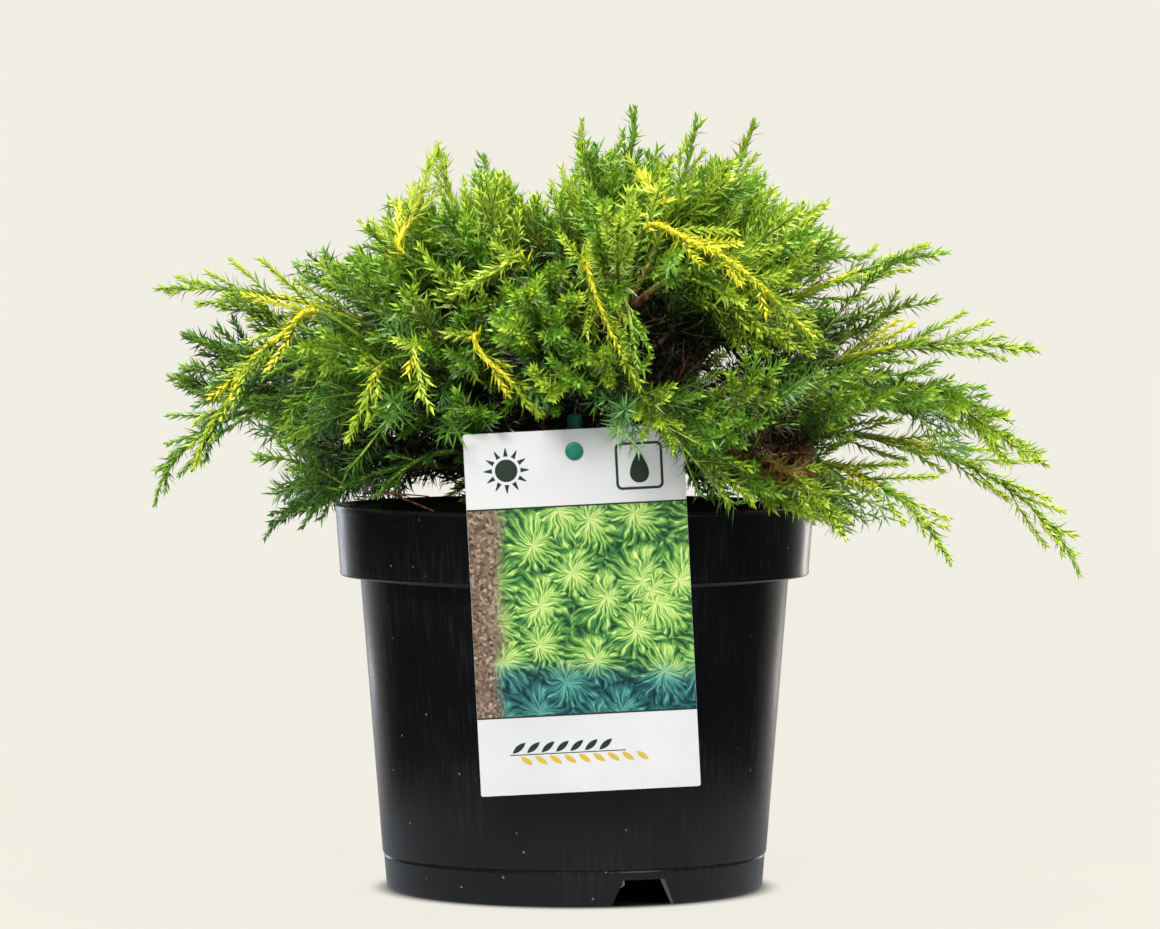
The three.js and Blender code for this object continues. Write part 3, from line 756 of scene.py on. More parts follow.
# %% Keep the view of the gold leaders open
# the leaders that the eye finds first: the limb that each leaves and the share of the limb where it does,
# how much of it is gold, and its course as side, height (both as the front view shows them) and depth
LEADERS = [
    ("front_gold", 0.35, 0.75, [(4, 249, -80), (8, 237, -90), (14, 222, -99), (26, 198, -108)]),
    ("front_right_gold", 0.30, 0.7, [(28, 262, -52), (46, 257, -66), (59, 251, -76), (71, 242, -86),
                                     (95, 219, -105)]),
    ("front_left_gold", 0.40, 0.65, [(-38, 220, -88), (-36, 211, -92), (-28, 204, -96), (-21, 196, -99),
                                     (-14, 188, -101)]),
    ("left_gold", 0.40, 0.6, [(-102, 229, -38), (-115, 221, -44), (-129, 209, -48), (-137, 195, -50),
                              (-146, 182, -51), (-152, 166, -52)]),
    ("top_far_left", 0.50, 0.55, [(-68, 252, -32), (-65, 266, -25), (-60, 278, -17), (-54.5, 295, -10)]),
    ("front_right_gold", 0.50, 0.15, [(58, 237, -78), (75, 223, -90), (94, 212, -102)]),
    ("left_front_mid", 0.50, 0.3, [(-76, 208, -92), (-83, 194, -96), (-90, 177, -99)]),
    ("front_left_mid", 0.60, 0.35, [(-63, 216, -100), (-62, 204, -104), (-59, 193, -107)]),
    ("front_left_gold", 0.30, 0.4, [(-19, 248, -74), (-31, 245, -80), (-48, 236, -84)]),
    ("top", 0.60, 0.8, [(35, 272, -34), (29, 279, -26), (23, 287, -18)]),
]
PATHS = {limb["name"]: limb["path"] for limb in LIMBS}
for name, (low, high) in GOLD_STRETCHES.items():
    show(cubic(PATHS[name], np.linspace(low, high, 24)))
# each leader as the joint from its limb, the line in view and how much of that is gold
leader_lines = []
for name, share, gold, course in LEADERS:
    line = through(np.array([cubic(PATHS[name], share)[0]] + [seen_at(*place) for place in course]))
    leader_lines.append((line[:RUN + 1], line[RUN:], gold))
    show(line[RUN:])
print(len(leader_lines), "leaders and", len(GOLD_STRETCHES), "gold stretches stay in view")

# %% Grow the limbs with their sprays and twigs
SPRAYS_TO_A_LIMB = 72
INNER_SPRAYS_TO_A_LIMB = 10
# limbs that the photograph shows with sky between their sprays, and the share of sprays that they keep
THINNED = {"low_right": 0.55, "low_right_front": 0.6, "right_front_mid": 0.65, "low_back_right": 0.6,
           "right_mid": 0.75, "right_high": 0.8, "left_droop": 0.7, "left_gold": 0.7, "low_left": 0.6,
           "low_left_front": 0.6, "low_back_left": 0.5}
# sprays in the shade that have dropped their needles, and twigs of a gold stretch that are gold themselves
DROPPED = 0.62
GOLD_TWIG_CHANCE = 0.16


def needles_of_limb(limb):
    """The kind of needle on a limb itself and on the twigs of its tip."""
    own = kind_of(limb, 3, limb["tip"], limb["seed"])
    if own in ("deep", "bluish"):
        own = "lime" if limb["tip"][2] > 200 else "green" if limb["tip"][0] > 60 else own
    return "green" if limb["name"] in ("top", "top_right", "top_left") else own


for limb in LIMBS:
    seed = limb["seed"]
    line = cubic(limb["path"], np.linspace(0, 1, 41))
    golden = limb["name"] in GOLD_STRETCHES
    low, high = GOLD_STRETCHES.get(limb["name"], (1.0, 1.0))
    own = needles_of_limb(limb)
    tone = between(0.3, 0.7, seed)
    wood.append((line[round(BOUGH_SHARE * 40):], 1.7, 0.35))
    if golden:
        stretch = cubic(limb["path"], np.linspace(low, high, 30))
        gold_wood.append((stretch, 1.05, 0.8))
        wear(stretch, "gold", seed + 0.5, 0.0, 1.0, tone=0.85, open_to=0.0, style=ON_GOLD_STRETCH,
             leader=True)
    for start, end in ((BOUGH_SHARE + 0.05, low), (high, 1.0)):
        if start < end:
            wear(line, own, seed, start, end, tone, open_to=0.3, style=ON_LIMB, leader=golden)
    for attempt in range(round(SPRAYS_TO_A_LIMB * THINNED.get(limb["name"], 1))):
        spray, t = spray_of(limb, attempt)
        spray_seed = seed * 1000 + attempt * 10
        kind = kind_of(limb, t, spray[-1], spray_seed)
        if in_shade(spray[-1]) and chance(spray_seed * 1.3) < DROPPED:
            continue
        open_view = kind == "dead" or (leaves_view_open(spray) and not np.any(before_dead_patch(spray)))
        if grows_clear(spray) and in_outline(spray) and open_view:
            # sprays nearer the trunk get a lower tone: painted shade deep in the bush, and older growth
            depth = (t - FIRST_SPRAY) / (LAST_SPRAY - FIRST_SPRAY)
            grow_spray(spray, kind, spray_seed, radius=0.8,
                       tone=between(0.0, 0.5, spray_seed + 5) + 0.4 * depth)
    inner = twigs_on(line, seed + 900, spacing=limb["length"] * 0.3 / INNER_SPRAYS_TO_A_LIMB, start=0.18,
                     end=0.48, angles=(40, 75), size_at=lambda u: SPRAY_LENGTH[0])
    for k, (twig, share) in enumerate(inner):
        if has_room(twig):
            kind = drawn(chance(seed * 31 + k), IN_THE_MIDDLE)
            grow_spray(twig, kind, seed * 700 + k, radius=0.7, tone=0.2)
    tips = twigs_on(line, seed + 500, spacing=9.0 if in_shade(limb["tip"]) else 5.6, start=0.46, end=0.965,
                    angles=(20, 38), size_at=lambda u: min(26, max(5, limb["length"] * (1 - u) * 0.5)))
    for k, (twig, share) in enumerate(tips):
        if grows_clear(twig, 2.0):
            in_gold = golden and low <= share <= high and twig[-1][0] > -90
            gold = in_gold and chance(seed * 50 + k) < GOLD_TWIG_CHANCE
            kind = "gold" if gold else "lime" if golden else own
            grow_twig(twig, kind, seed * 40 + k, tone + 0.15, open_to=0.3, style=ON_TIP_TWIG, leader=golden)
print(len(wood), "stems and twigs on the limbs")

# %% Grow the gold leaders, the dead patch and a bare twig
# a leader is a bold yellow stem in short needles, and its side twigs turn from gold to lime
for k, (joint, line, gold) in enumerate(leader_lines):
    seed = 8000 + 60 * k
    length = steps_of(line).sum()
    wood.append((joint, 1.1, 0.9))
    wear(joint, "green", seed, 0.25, 1.0, tone=0.35, open_to=0.8, style=YOUNG)
    (gold_wood if gold > 0.5 else wood).append((line, 1.05, 0.45))
    for kind, start, end in (("gold", 0.0, gold), ("lime", gold, 1.0)):
        wear(line, kind, seed, start, end, tone=0.9, open_to=0.0, style=ON_LEADER, leader=True)
    twigs = twigs_on(line, seed, spacing=5.5, start=0.02, end=0.93, angles=(22, 42),
                     size_at=lambda u: min(24, max(6, length * (1 - u) * 0.42)))
    for j, (twig, share) in enumerate(twigs):
        if grows_clear(twig, 2.0):
            kind = "gold" if share < gold and chance(seed + j) < GOLD_TWIG_CHANCE else "lime"
            grow_twig(twig, kind, seed + j, tone=0.85, open_to=0.2, style=YOUNG, leader=True)

# the dead patch: a fan of brown twigs from a broken shoot just behind it, dark above and straw below
DEAD_SPRAYS = 18
DEAD_ROOT = np.array([66.0, -72.0, 166.0])
DEAD_END = np.array([77.0, -92.0, 175.0])
for k in range(DEAD_SPRAYS):
    seed = 9000 + 10 * k
    end = DEAD_END + [between(-13, 15, seed), between(-7, 5, seed + 1), between(-12, 11, seed + 2)]
    fan = shoot_line(DEAD_ROOT, (DEAD_ROOT + end) / 2 + [0, 0, 4], end, 9)
    grow_spray(fan, "dead", seed, radius=0.8, tone=0.1 if end[2] > DEAD_END[2] - 3 else 0.75)

# a bare twig that lies over the compost behind the rim, with one side shoot
BARE_TWIGS = [(((-86, -36, 163), (-72, -62, 160), (-54, -70, 152.5)), 0.6, 0.35),
              (((-73, -60, 159), (-66, -66, 159), (-56, -64, 158)), 0.4, 0.25)]
bare_wood = [(shoot_line(*map(np.array, places), 9), start, end) for places, start, end in BARE_TWIGS]

counts = {kind: sum(len(rows) for rows in groups) for kind, groups in needles.items()}
print("needles:", counts, "in all", sum(counts.values()), "; stems and twigs:", len(wood))

# %% [markdown]
# ## One needle, and one tree of nodes that sets it everywhere
#
# Juniper needles stand in threes round the stem. Each is a lance 5 to 7 mm long and little over 1 mm wide,
# with a keel down one side. Four triangles close that shape. Every needle is a point that knows its own
# way and the way of its stem, and a Geometry Nodes tree sets a copy on each point.

# %% The needle, one millimetre long and wide
corners = [(0, 0, 0), (0.22, -0.5, 0.34), (0.22, 0.5, 0.34), (0, 0, 1)]
needle = outward(mesh_piece("needle", [Vector(c) * MM for c in corners],
                            [(0, 2, 1), (3, 1, 2), (0, 1, 3), (0, 3, 2)], smooth=False))
needle.data.attributes.new("along", "FLOAT", "POINT").data.foreach_set("value", [0.0, 0.35, 0.35, 1.0])
print("a needle has", len(needle.data.polygons), "faces")


# %% The needle tree
def needle_tree():
    """Points that know their way, their stem's way and their size become needles."""
    tree, given = geometry_tree("needles_on_points", "Needles", Points="Geometry", Needle="Object",
                                Finish="Material", Needle_size="Float", Unevenness="Float", Seed="Int")
    shape = add(tree, "GeometryNodeObjectInfo", {"Object": given["Needle"]}).outputs["Geometry"]
    shake = add(tree, "FunctionNodeRandomValue", {0: (-1, -1, -1), 1: (1, 1, 1), "Seed": given["Seed"]},
                data_type="FLOAT_VECTOR").outputs[0]
    astray = vector_calc(tree, "SCALE", shake, given["Unevenness"])
    aim = vector_calc(tree, "ADD", on_points(tree, "way"), astray)
    align = add(tree, "FunctionNodeAlignRotationToVector", {"Vector": aim}, axis="Z").outputs[0]
    place = add(tree, "FunctionNodeAlignRotationToVector",
                {"Rotation": align, "Vector": on_points(tree, "stem")}, axis="X", pivot_axis="Z").outputs[0]
    size = vector_calc(tree, "SCALE", on_points(tree, "stretch"), given["Needle size"])
    copies = add(tree, "GeometryNodeInstanceOnPoints",
                 {"Points": given["Points"], "Instance": shape, "Rotation": place, "Scale": size})
    return close_tree(tree, copies.outputs[0], given["Finish"])


NEEDLES_ON_POINTS = needle_tree()
print("inputs:", [item.name for item in NEEDLES_ON_POINTS.interface.items_tree if item.in_out == "INPUT"])

# %% [markdown]
# ## Needle finishes
#
# A living needle is waxy: a soft sheen over a colour that gets paler towards the tip. Every kind of needle
# gets its own three plain colours, and its tone picks a place between them. The tone also carries painted
# shade and light: deeper inside the bush, near the pot and at the base of each shoot, where shade falls, and
# paler at its outer face and on young tips. The darkest of the three colours is the painted shade. A
# roughness of about 0.45 gives the wax its broad highlight.

# %% Finishes of the six kinds of needle
# each kind's colours for a low, a middle and a high tone; for a living kind the low one is painted shade deep
# in the bush
NEEDLE_COLOURS = {
    "gold": ("#7a7410", "#d4ce18", "#e8ea44"),
    "lime": ("#1a3006", "#84aa1e", "#b8d244"),
    "green": ("#0c2405", "#588e1c", "#90ba38"),
    "deep": ("#050f03", "#2c6016", "#649a2e"),
    "bluish": ("#06140a", "#326a34", "#78ae68"),
    "dead": ("#241012", "#4c2a20", "#8e7436"),
}


def needle_finish(kind, dark, middle, pale):
    """Waxy needles, or dry ones: the tone, which carries painted shade and light, picks the colour, and the
    tip is paler by its own share.
    """
    material, tree = finish_of("waxy_needles_" + kind, middle, 0.45, Specular_IOR_Level=0.4)
    tone, along = (add(tree, "ShaderNodeAttribute", attribute_name=name).outputs["Fac"]
                   for name in ("tone", "along"))
    spray = ramp(tree, tone, [(0.0, dark), (0.5, middle), (1.0, pale)])
    lit = calc(tree, "MULTIPLY", graded(tree, along, 0.2, 1.0, 0.0, 0.6), tone)
    feed(tree, Base_Color=blend(tree, lit, spray, linear(pale)))
    return material


NEEDLE_FINISHES = {kind: needle_finish(kind, *colours) for kind, colours in NEEDLE_COLOURS.items()}
print("finishes:", ", ".join(NEEDLE_FINISHES))

# %% Set the needles on the bush, piece by piece
NEEDLES_TO_A_PIECE = 48000
# what each point knows, and the columns of its row that say it
POINT_FIELDS = {"way": [3, 4, 5], "stem": [6, 7, 8], "stretch": [9, 9, 10]}
total = 0
for kind, groups in needles.items():
    rows = np.concatenate(groups)
    parts = math.ceil(len(rows) / NEEDLES_TO_A_PIECE)
    for part, some in enumerate(np.array_split(rows, parts)):
        name = f"needles_{kind}_{part + 1}"
        cloud = bpy.data.meshes.new(name)
        cloud.vertices.add(len(some))
        cloud.vertices.foreach_set("co", (some[:, :3] * MM).ravel())
        for word, columns in POINT_FIELDS.items():
            field = cloud.attributes.new(word, "FLOAT_VECTOR", "POINT")
            field.data.foreach_set("vector", some[:, columns].ravel())
        cloud.attributes.new("tone", "FLOAT", "POINT").data.foreach_set("value", some[:, 11].copy())
        piece = placed(name, cloud)
        grow(piece, NEEDLES_ON_POINTS, Needle=needle, Finish=NEEDLE_FINISHES[kind], Needle_size=1.0,
             Unevenness=0.06, Seed=part)
        total += len(piece.data.polygons)
        for word in POINT_FIELDS:
            if word in piece.data.attributes:
                piece.data.attributes.remove(piece.data.attributes[word])
        dress(piece, "gold_foliage" if kind == "gold" else "foliage", *MASS_NODES)
bpy.data.objects.remove(needle)
print("triangles in needles:", total)

# %% [markdown]
# ## Bark
#
# The trunk and the boughs of a young juniper wear thin bark that peels in long strips, red-brown where it
# is fresh and grey where it has weathered. The strips are real relief: each ring of the tube is pushed in
# and out by ridges that run along the stem and wander slowly round it.

# %% Tubes with ridges
def ridges(angle, height, seed):
    """Relief from -1 to 1 of peeling strips round and along a stem, height in millimetres."""
    total = 0
    for k, lobes in enumerate((5, 8, 11, 15, 19)):
        sway = 0.6 * np.sin(height / between(14, 30, seed + k) + 6.28 * chance(seed + k * 3))
        total = total + np.sin(lobes * (angle + 0.12 * sway) + height * between(-0.05, 0.05, seed + 9 * k)
                               + 6.28 * chance(seed * 7 + k)) / (1 + 0.4 * k)
    flakes = np.sin(height * 0.9 + 3 * np.sin(angle * 3 + seed)) * np.sin(angle * 7 + height * 0.21)
    return (total + 0.8 * flakes) / 3.6


def tube(line, radii, sides, seed, depth):
    """Vertices and faces of a closed tube with relief round a line of points."""
    count = len(line)
    along = np.gradient(line, axis=0)
    along /= np.linalg.norm(along, axis=1)[:, None]
    side = unit(np.cross(along[0], [0.2, 0.3, 0.9]))
    reach = np.concatenate([[0], np.cumsum(steps_of(line))])
    angles = np.linspace(0, 2 * math.pi, sides, endpoint=False)
    vertices, faces = [], []
    for k in range(count):
        side = unit(side - along[k] * side.dot(along[k]))
        across = np.cross(along[k], side)
        radius = radii[k] * (1 + depth * ridges(angles, reach[k], seed))
        ring = line[k] + radius[:, None] * (np.cos(angles)[:, None] * side + np.sin(angles)[:, None] * across)
        vertices += list(ring * MM)
    for k in range(count - 1):
        for j in range(sides):
            a, b = k * sides + j, k * sides + (j + 1) % sides
            faces.append((a, b, b + sides, a + sides))
    faces.append(tuple(range(sides))[::-1])
    faces.append(tuple(range((count - 1) * sides, count * sides)))
    return vertices, faces


def bark_finish():
    """Thin peeling juniper bark: red-brown ridges over dark furrows, matt."""
    material, tree = finish_of("peeling_juniper_bark", "#6b4a33", 0.85, Specular_IOR_Level=0.25)
    # strips about 2 mm wide and 20 mm long
    strip = noise(tree, on_object(tree, Scale=(500, 500, 60)), 1.0, 4.0)
    patch = noise(tree, on_object(tree), 90.0)
    mixed = calc(tree, "MULTIPLY", calc(tree, "ADD", strip, patch), 0.5)
    feed(tree, Base_Color=ramp(tree, mixed, [(0.36, "#2e1d14"), (0.47, "#5d3d29"), (0.55, "#8a5f41"),
                                             (0.66, "#a68d74")]))
    relief(tree, strip, 0.5, 0.0004)
    return material


BARK = bark_finish()
TRUNK_RADII = (9, 4.6)
BOUGH_RADII = (2.5, 1.7)
rings = np.linspace(0, 1, 64)
trunk_line = np.array([trunk_point(TRUNK_FOOT_Z + s * (TRUNK_TOP_Z - TRUNK_FOOT_Z)) for s in rings])
# the trunk flares at the compost and closes in a blunt end
trunk_radii = TRUNK_RADII[0] + (TRUNK_RADII[1] - TRUNK_RADII[0]) * rings + 5 * np.exp(-9 * rings)
trunk_radii[-3:] *= (0.94, 0.8, 0.5)
trunk = outward(mesh_piece("trunk_bark", *tube(trunk_line, trunk_radii, sides=60, seed=5, depth=0.09), BARK))
dress(trunk, "bark", "trunk")
vertices, faces = [], []
for limb in LIMBS:
    if limb["bough"]:
        line = cubic(limb["path"], np.linspace(0, BOUGH_SHARE + 0.01, 28))
        corners, sides = tube(line, np.linspace(*BOUGH_RADII, 28), sides=14, seed=limb["seed"], depth=0.1)
        faces += [tuple(i + len(vertices) for i in side) for side in sides]
        vertices += corners
boughs = outward(mesh_piece("boughs_bark", vertices, faces, BARK))
dress(boughs, "bark", *BOUGH_NODES)
print("bark faces:", len(trunk.data.polygons) + len(boughs.data.polygons))

# %% [markdown]
# ## Stems and twigs inside the bush
#
# Beyond its bough each limb runs on as a thin stem, brown at first and green where it is young. The lines
# that carried the needles are used again. A Geometry Nodes tree turns each of them into a tapering tube:
# Mesh to Curve reads the line, and Curve to Mesh sweeps a small polygon along it, scaled by the radius.

# %% The stem tree
def stem_tree():
    """Lines that know their girth become tapering tubes."""
    tree, given = geometry_tree("stems_on_lines", "Stems", Lines="Geometry", Finish="Material", Sides="Int",
                                Thickness="Float")
    curves = add(tree, "GeometryNodeMeshToCurve", {"Mesh": given["Lines"]}).outputs[0]
    ring = add(tree, "GeometryNodeCurvePrimitiveCircle",
               {"Resolution": given["Sides"], "Radius": given["Thickness"]}).outputs[0]
    swept = add(tree, "GeometryNodeCurveToMesh", {"Curve": curves, "Profile Curve": ring, "Fill Caps": True,
                                                  "Scale": on_points(tree, "girth", "FLOAT")})
    return close_tree(tree, swept.outputs[0], given["Finish"])


def stem_finish():
    """Young juniper stems: green-brown, with a thin waxy skin."""
    material, tree = finish_of("young_green_stem", "#6c8a28", 0.6, Specular_IOR_Level=0.35)
    young = ramp(tree, noise(tree, on_object(tree), 55.0), [(0.38, "#4e5c1e"), (0.5, "#6c8a28"),
                                                            (0.64, "#8fae3c")])
    # the stems are wood up to 5 cm from a place at the trunk's top, and green from 10 cm
    from_trunk = length_in(tree, on_object(tree, Location=(0, 0, -0.18)))
    green = graded(tree, from_trunk, 0.055, 0.1)
    feed(tree, Base_Color=blend(tree, green, linear("#5f4330"), young))
    return material


def stem_piece(name, lines, sides, material):
    """One piece with a tube on every line, each line as (points, radius at its start, radius at its end)."""
    points = np.concatenate([line for line, _, _ in lines])
    edges, first = [], 0
    for line, _, _ in lines:
        edges += [(first + k, first + k + 1) for k in range(len(line) - 1)]
        first += len(line)
    mesh = bpy.data.meshes.new(name)
    mesh.from_pydata((points * MM).tolist(), edges, [])
    girths = np.concatenate([np.linspace(a, b, len(line)) for line, a, b in lines])
    mesh.attributes.new("girth", "FLOAT", "POINT").data.foreach_set("value", girths)
    piece = placed(name, mesh)
    grow(piece, STEMS_ON_LINES, Finish=material, Sides=sides, Thickness=MM)
    return outward(piece)


STEMS_ON_LINES = stem_tree()
STEM = stem_finish()
GOLD_STEM, _ = finish_of("yellow_young_stem", "#d2c626", 0.5, Specular_IOR_Level=0.35)
THICK = 0.6
thick = [row for row in wood if row[1] > THICK]
thin = [row for row in wood if row[1] <= THICK]
for name, lines, sides, material in (
        ("stems", thick, 5, STEM), ("twigs", thin, 3, STEM),
        ("gold_stems", gold_wood, 8, GOLD_STEM), ("bare_twigs", bare_wood, 6, BARK)):
    piece = stem_piece(name, lines, sides, material)
    dress(piece, "gold_foliage" if name == "gold_stems" else "foliage", *MASS_NODES)
    print(name, len(lines), "lines,", sum(len(p.vertices) - 2 for p in piece.data.polygons), "triangles")

# %% [markdown]
# ## The pot
#
# Nursery pots are injection moulded from black polypropylene. The wall is under 2 mm thick, the rim is a
# band that stands out over a ledge, with a rolled lip on top, and the foot is a ring with three drain
# notches. The floor stands on a round foot in its middle and has six drain holes. A turned profile makes
# all but the notches and the holes. Those are cut with Booleans, since they cross the rings of the profile.

# %% Turn the pot
def body_radius(z):
    """The radius of the pot's tapered body at a height."""
    return 74.7 + 0.08 * z


def wall(offset, *heights):
    """Corners of a profile at an offset from the body's surface."""
    return [(body_radius(z) + offset, z) for z in heights]


POT_SIDES = 160
# radius and height, from the middle of the underside out, up the outside, over the lip and down the inside
POT_PROFILE = [
    (0, 0), (19, 0), (20, 0.6), (18.6, 10.2), (70.2, 10.2), (71.6, 0.5), (72.2, 0), (73.4, 0), (74.2, 0.3),
    (74.75, 1.1), *wall(0, 2, 3, 12.9, 13.4),
    # a fine seam in the wall, and the body over it
    (body_radius(13.9) - 0.25, 13.8), *wall(-0.25, 14.2), (body_radius(14.5) + 0.4, 14.55),
    *wall(0.5, 15, 15.5, 48, 86, 123.2), *wall(0.8, 124), *wall(1.4, 124.5),
    # the ledge, the rim band and the rolled lip
    (91.6, 124.5), (92.5, 124.6), (93.1, 125.1), (93.3, 125.8), (93.15, 126.7), (93.25, 128),
    (94.1, 139), (94.8, 149), (95.1, 150.2), (95.2, 151.1), (95.0, 151.9), (94.6, 152.4), (94.0, 152.6),
    (93.5, 152.3), (93.2, 151.6), (93.0, 150), (91.2, 126.3),
    # the inside
    (body_radius(125) - 1.3, 125.6), *wall(-1.3, 60), (73.6, 12), (60, 12), (30, 12), (0, 12),
]
NOTCH_AZIMUTHS = (-69, 51, 171)
DRAIN_AZIMUTHS = range(-39, 321, 60)
# the drain holes' distance from the axis, their radius, and the heights that their cutters run between
DRAIN_RING, DRAIN_RADIUS, DRAIN_LOW, DRAIN_HIGH = 52, 4.5, 8, 14


def turned(name, profile, sides, material):
    """A closed solid turned about the Z axis, from a profile of (radius, height) in millimetres."""
    vertices, faces, rows = [], [], []
    for radius, z in profile:
        first = len(vertices)
        count = sides if radius > 0 else 1
        for j in range(count):
            a = 2 * math.pi * j / sides
            vertices.append((radius * math.cos(a) * MM, radius * math.sin(a) * MM, z * MM))
        rows.append([first + (j % count) for j in range(sides)])
    for low, high in zip(rows, rows[1:]):
        for j in range(sides):
            corners = [low[j], low[(j + 1) % sides], high[(j + 1) % sides], high[j]]
            face = tuple(dict.fromkeys(corners))
            if len(face) > 2:
                faces.append(face)
    return outward(mesh_piece(name, vertices, faces, material))


def notch_cutter(azimuth):
    """The trapezoid bar that cuts one drain notch through the foot ring."""
    wide, narrow, low, top = 14.0, 8.5, -2, 10.5
    outline = [(-wide, low), (wide, low), (narrow, top), (-narrow, top)]
    vertices = [(x * MM, y * MM, z * MM) for y in (-58, -84) for x, z in outline]
    faces = [(0, 1, 2, 3), (7, 6, 5, 4), (0, 4, 5, 1), (1, 5, 6, 2), (2, 6, 7, 3), (3, 7, 4, 0)]
    cutter = outward(mesh_piece("notch", vertices, faces, smooth=False))
    cutter.data.transform(Matrix.Rotation(math.radians(azimuth + 90), 4, "Z"))
    return cutter


def drain_cutter(azimuth):
    """The round bar that cuts one drain hole through the floor."""
    middle = direction(azimuth, 0) * DRAIN_RING
    line = np.array([middle + [0, 0, DRAIN_LOW], middle + [0, 0, DRAIN_HIGH]])
    bar = tube(line, [DRAIN_RADIUS, DRAIN_RADIUS], sides=24, seed=1, depth=0)
    return outward(mesh_piece("drain_hole", *bar, smooth=False))


def pot_finish():
    """Black polypropylene, injection moulded: satin gloss, faint draw lines and dust."""
    material, tree = finish_of("moulded_black_polypropylene", "#121315", 0.3, Specular_IOR_Level=0.45)
    place = on_object(tree)
    # dust specks of half a millimetre, one to some square centimetres
    specks = cells(tree, place, 230.0)
    chosen = calc(tree, "GREATER_THAN", specks["Color"], 0.76)
    speck = calc(tree, "MULTIPLY", graded(tree, specks["Distance"], 0.06, 0.13, 0.8, 0.0), chosen)
    # draw lines and wiped dust run up the wall, about 1 mm apart
    drawn_up = noise(tree, on_object(tree, Scale=(700, 700, 14)), 1.0, 3.0)
    wiped = calc(tree, "MULTIPLY", drawn_up, noise(tree, place, 22.0, 3.0))
    dusty = calc(tree, "MAXIMUM", graded(tree, wiped, 0.26, 0.48, 0.0, 0.035), speck)
    feed(tree, Base_Color=blend(tree, dusty, linear("#0b0d10"), linear("#8b867a")),
         Roughness=graded(tree, wiped, 0.15, 0.45, 0.2, 0.34))
    relief(tree, drawn_up, 0.04, 0.0002)
    return material


pot = turned("pot_moulding", POT_PROFILE, POT_SIDES, pot_finish())
for cutter in [*map(notch_cutter, NOTCH_AZIMUTHS), *map(drain_cutter, DRAIN_AZIMUTHS)]:
    cut = pot.modifiers.new("opening", "BOOLEAN")
    cut.object = cutter
    cut.solver = "EXACT"
    plain_mesh(pot)
    bpy.data.objects.remove(cutter)
outward(pot)
pot.data.polygons.foreach_set("use_smooth", [True] * len(pot.data.polygons))
pot.data.set_sharp_from_angle(angle=math.radians(34))
dress(pot, "pot", "pot")
print("pot:", len(pot.data.polygons), "faces")

# %% [markdown]
# ## Compost
#
# The pot is filled with dark peat and bark crumbs to about 14 mm below the lip. A turned filling with a
# rough top makes the body of it, and Geometry Nodes scatter loose crumbs of 1 to 4 mm over that top.

# %% The compost and its crumbs
COMPOST_RADIUS, COMPOST_Z = 91.6, 137.2
# all of the filling above this height, in metres, is its rough top
ROUGH_FROM = 0.13
COMPOST_PROFILE = [(0, 12.3), (73.3, 12.3), *wall(-1.6, 60), (body_radius(125) - 1.6, 126.2), (90.7, 126.7),
                   *((r, COMPOST_Z) for r in np.linspace(COMPOST_RADIUS, 1, 40)), (0, COMPOST_Z)]


def compost_finish():
    """Peat with bark crumbs: matt, from near black to red-brown."""
    material, tree = finish_of("peat_and_bark_crumbs", "#2b211a", 0.95, Specular_IOR_Level=0.2)
    grain = cells(tree, on_object(tree), 320.0)
    feed(tree, Base_Color=ramp(tree, grain["Color"], [(0.1, "#17100b"), (0.5, "#33251b"), (0.85, "#4f3724"),
                                                      (1.0, "#71563b")]))
    relief(tree, grain["Distance"], 0.8, 0.001)
    return material


def crumb_tree():
    """Crumbs of many sizes lie scattered on all ground that looks up."""
    tree, given = geometry_tree("crumbs_on_compost", "Compost", Ground="Geometry", Crumb="Object",
                                Finish="Material", Crumbs_per_square_metre="Float", Least_size="Float",
                                Most_size="Float", Seed="Int")
    level = add(tree, "ShaderNodeSeparateXYZ", {"Vector": add(tree, "GeometryNodeInputNormal").outputs[0]})
    spots = add(tree, "GeometryNodeDistributePointsOnFaces",
                {"Mesh": given["Ground"], "Selection": calc(tree, "GREATER_THAN", level.outputs["Z"], 0.4),
                 "Density": given["Crumbs per square metre"], "Seed": given["Seed"]})
    shape = add(tree, "GeometryNodeObjectInfo", {"Object": given["Crumb"]}).outputs["Geometry"]
    size = add(tree, "FunctionNodeRandomValue",
               {2: given["Least size"], 3: given["Most size"], "Seed": given["Seed"]}, data_type="FLOAT")
    tumble = add(tree, "FunctionNodeRandomValue",
                 {0: (0, 0, 0), 1: (6.28, 6.28, 6.28), "Seed": given["Seed"]}, data_type="FLOAT_VECTOR")
    rolled = add(tree, "FunctionNodeEulerToRotation", {0: tumble.outputs[0]}).outputs[0]
    copies = add(tree, "GeometryNodeInstanceOnPoints",
                 {"Points": spots.outputs["Points"], "Instance": shape, "Rotation": rolled,
                  "Scale": size.outputs[1]})
    both = add(tree, "GeometryNodeJoinGeometry")
    for geometry in (given["Ground"], copies.outputs[0]):
        tree.links.new(geometry, both.inputs[0])
    return close_tree(tree, both.outputs[0], given["Finish"])


def rough(x, y):
    """Height of the rough ground in millimetres."""
    return (0.8 * math.sin(x / 7.1 + 1.3 * math.sin(y / 9)) + 0.7 * math.sin(y / 5.3 + math.sin(x / 6))
            + 0.4 * math.sin(x / 2.3) * math.sin(y / 2.9))


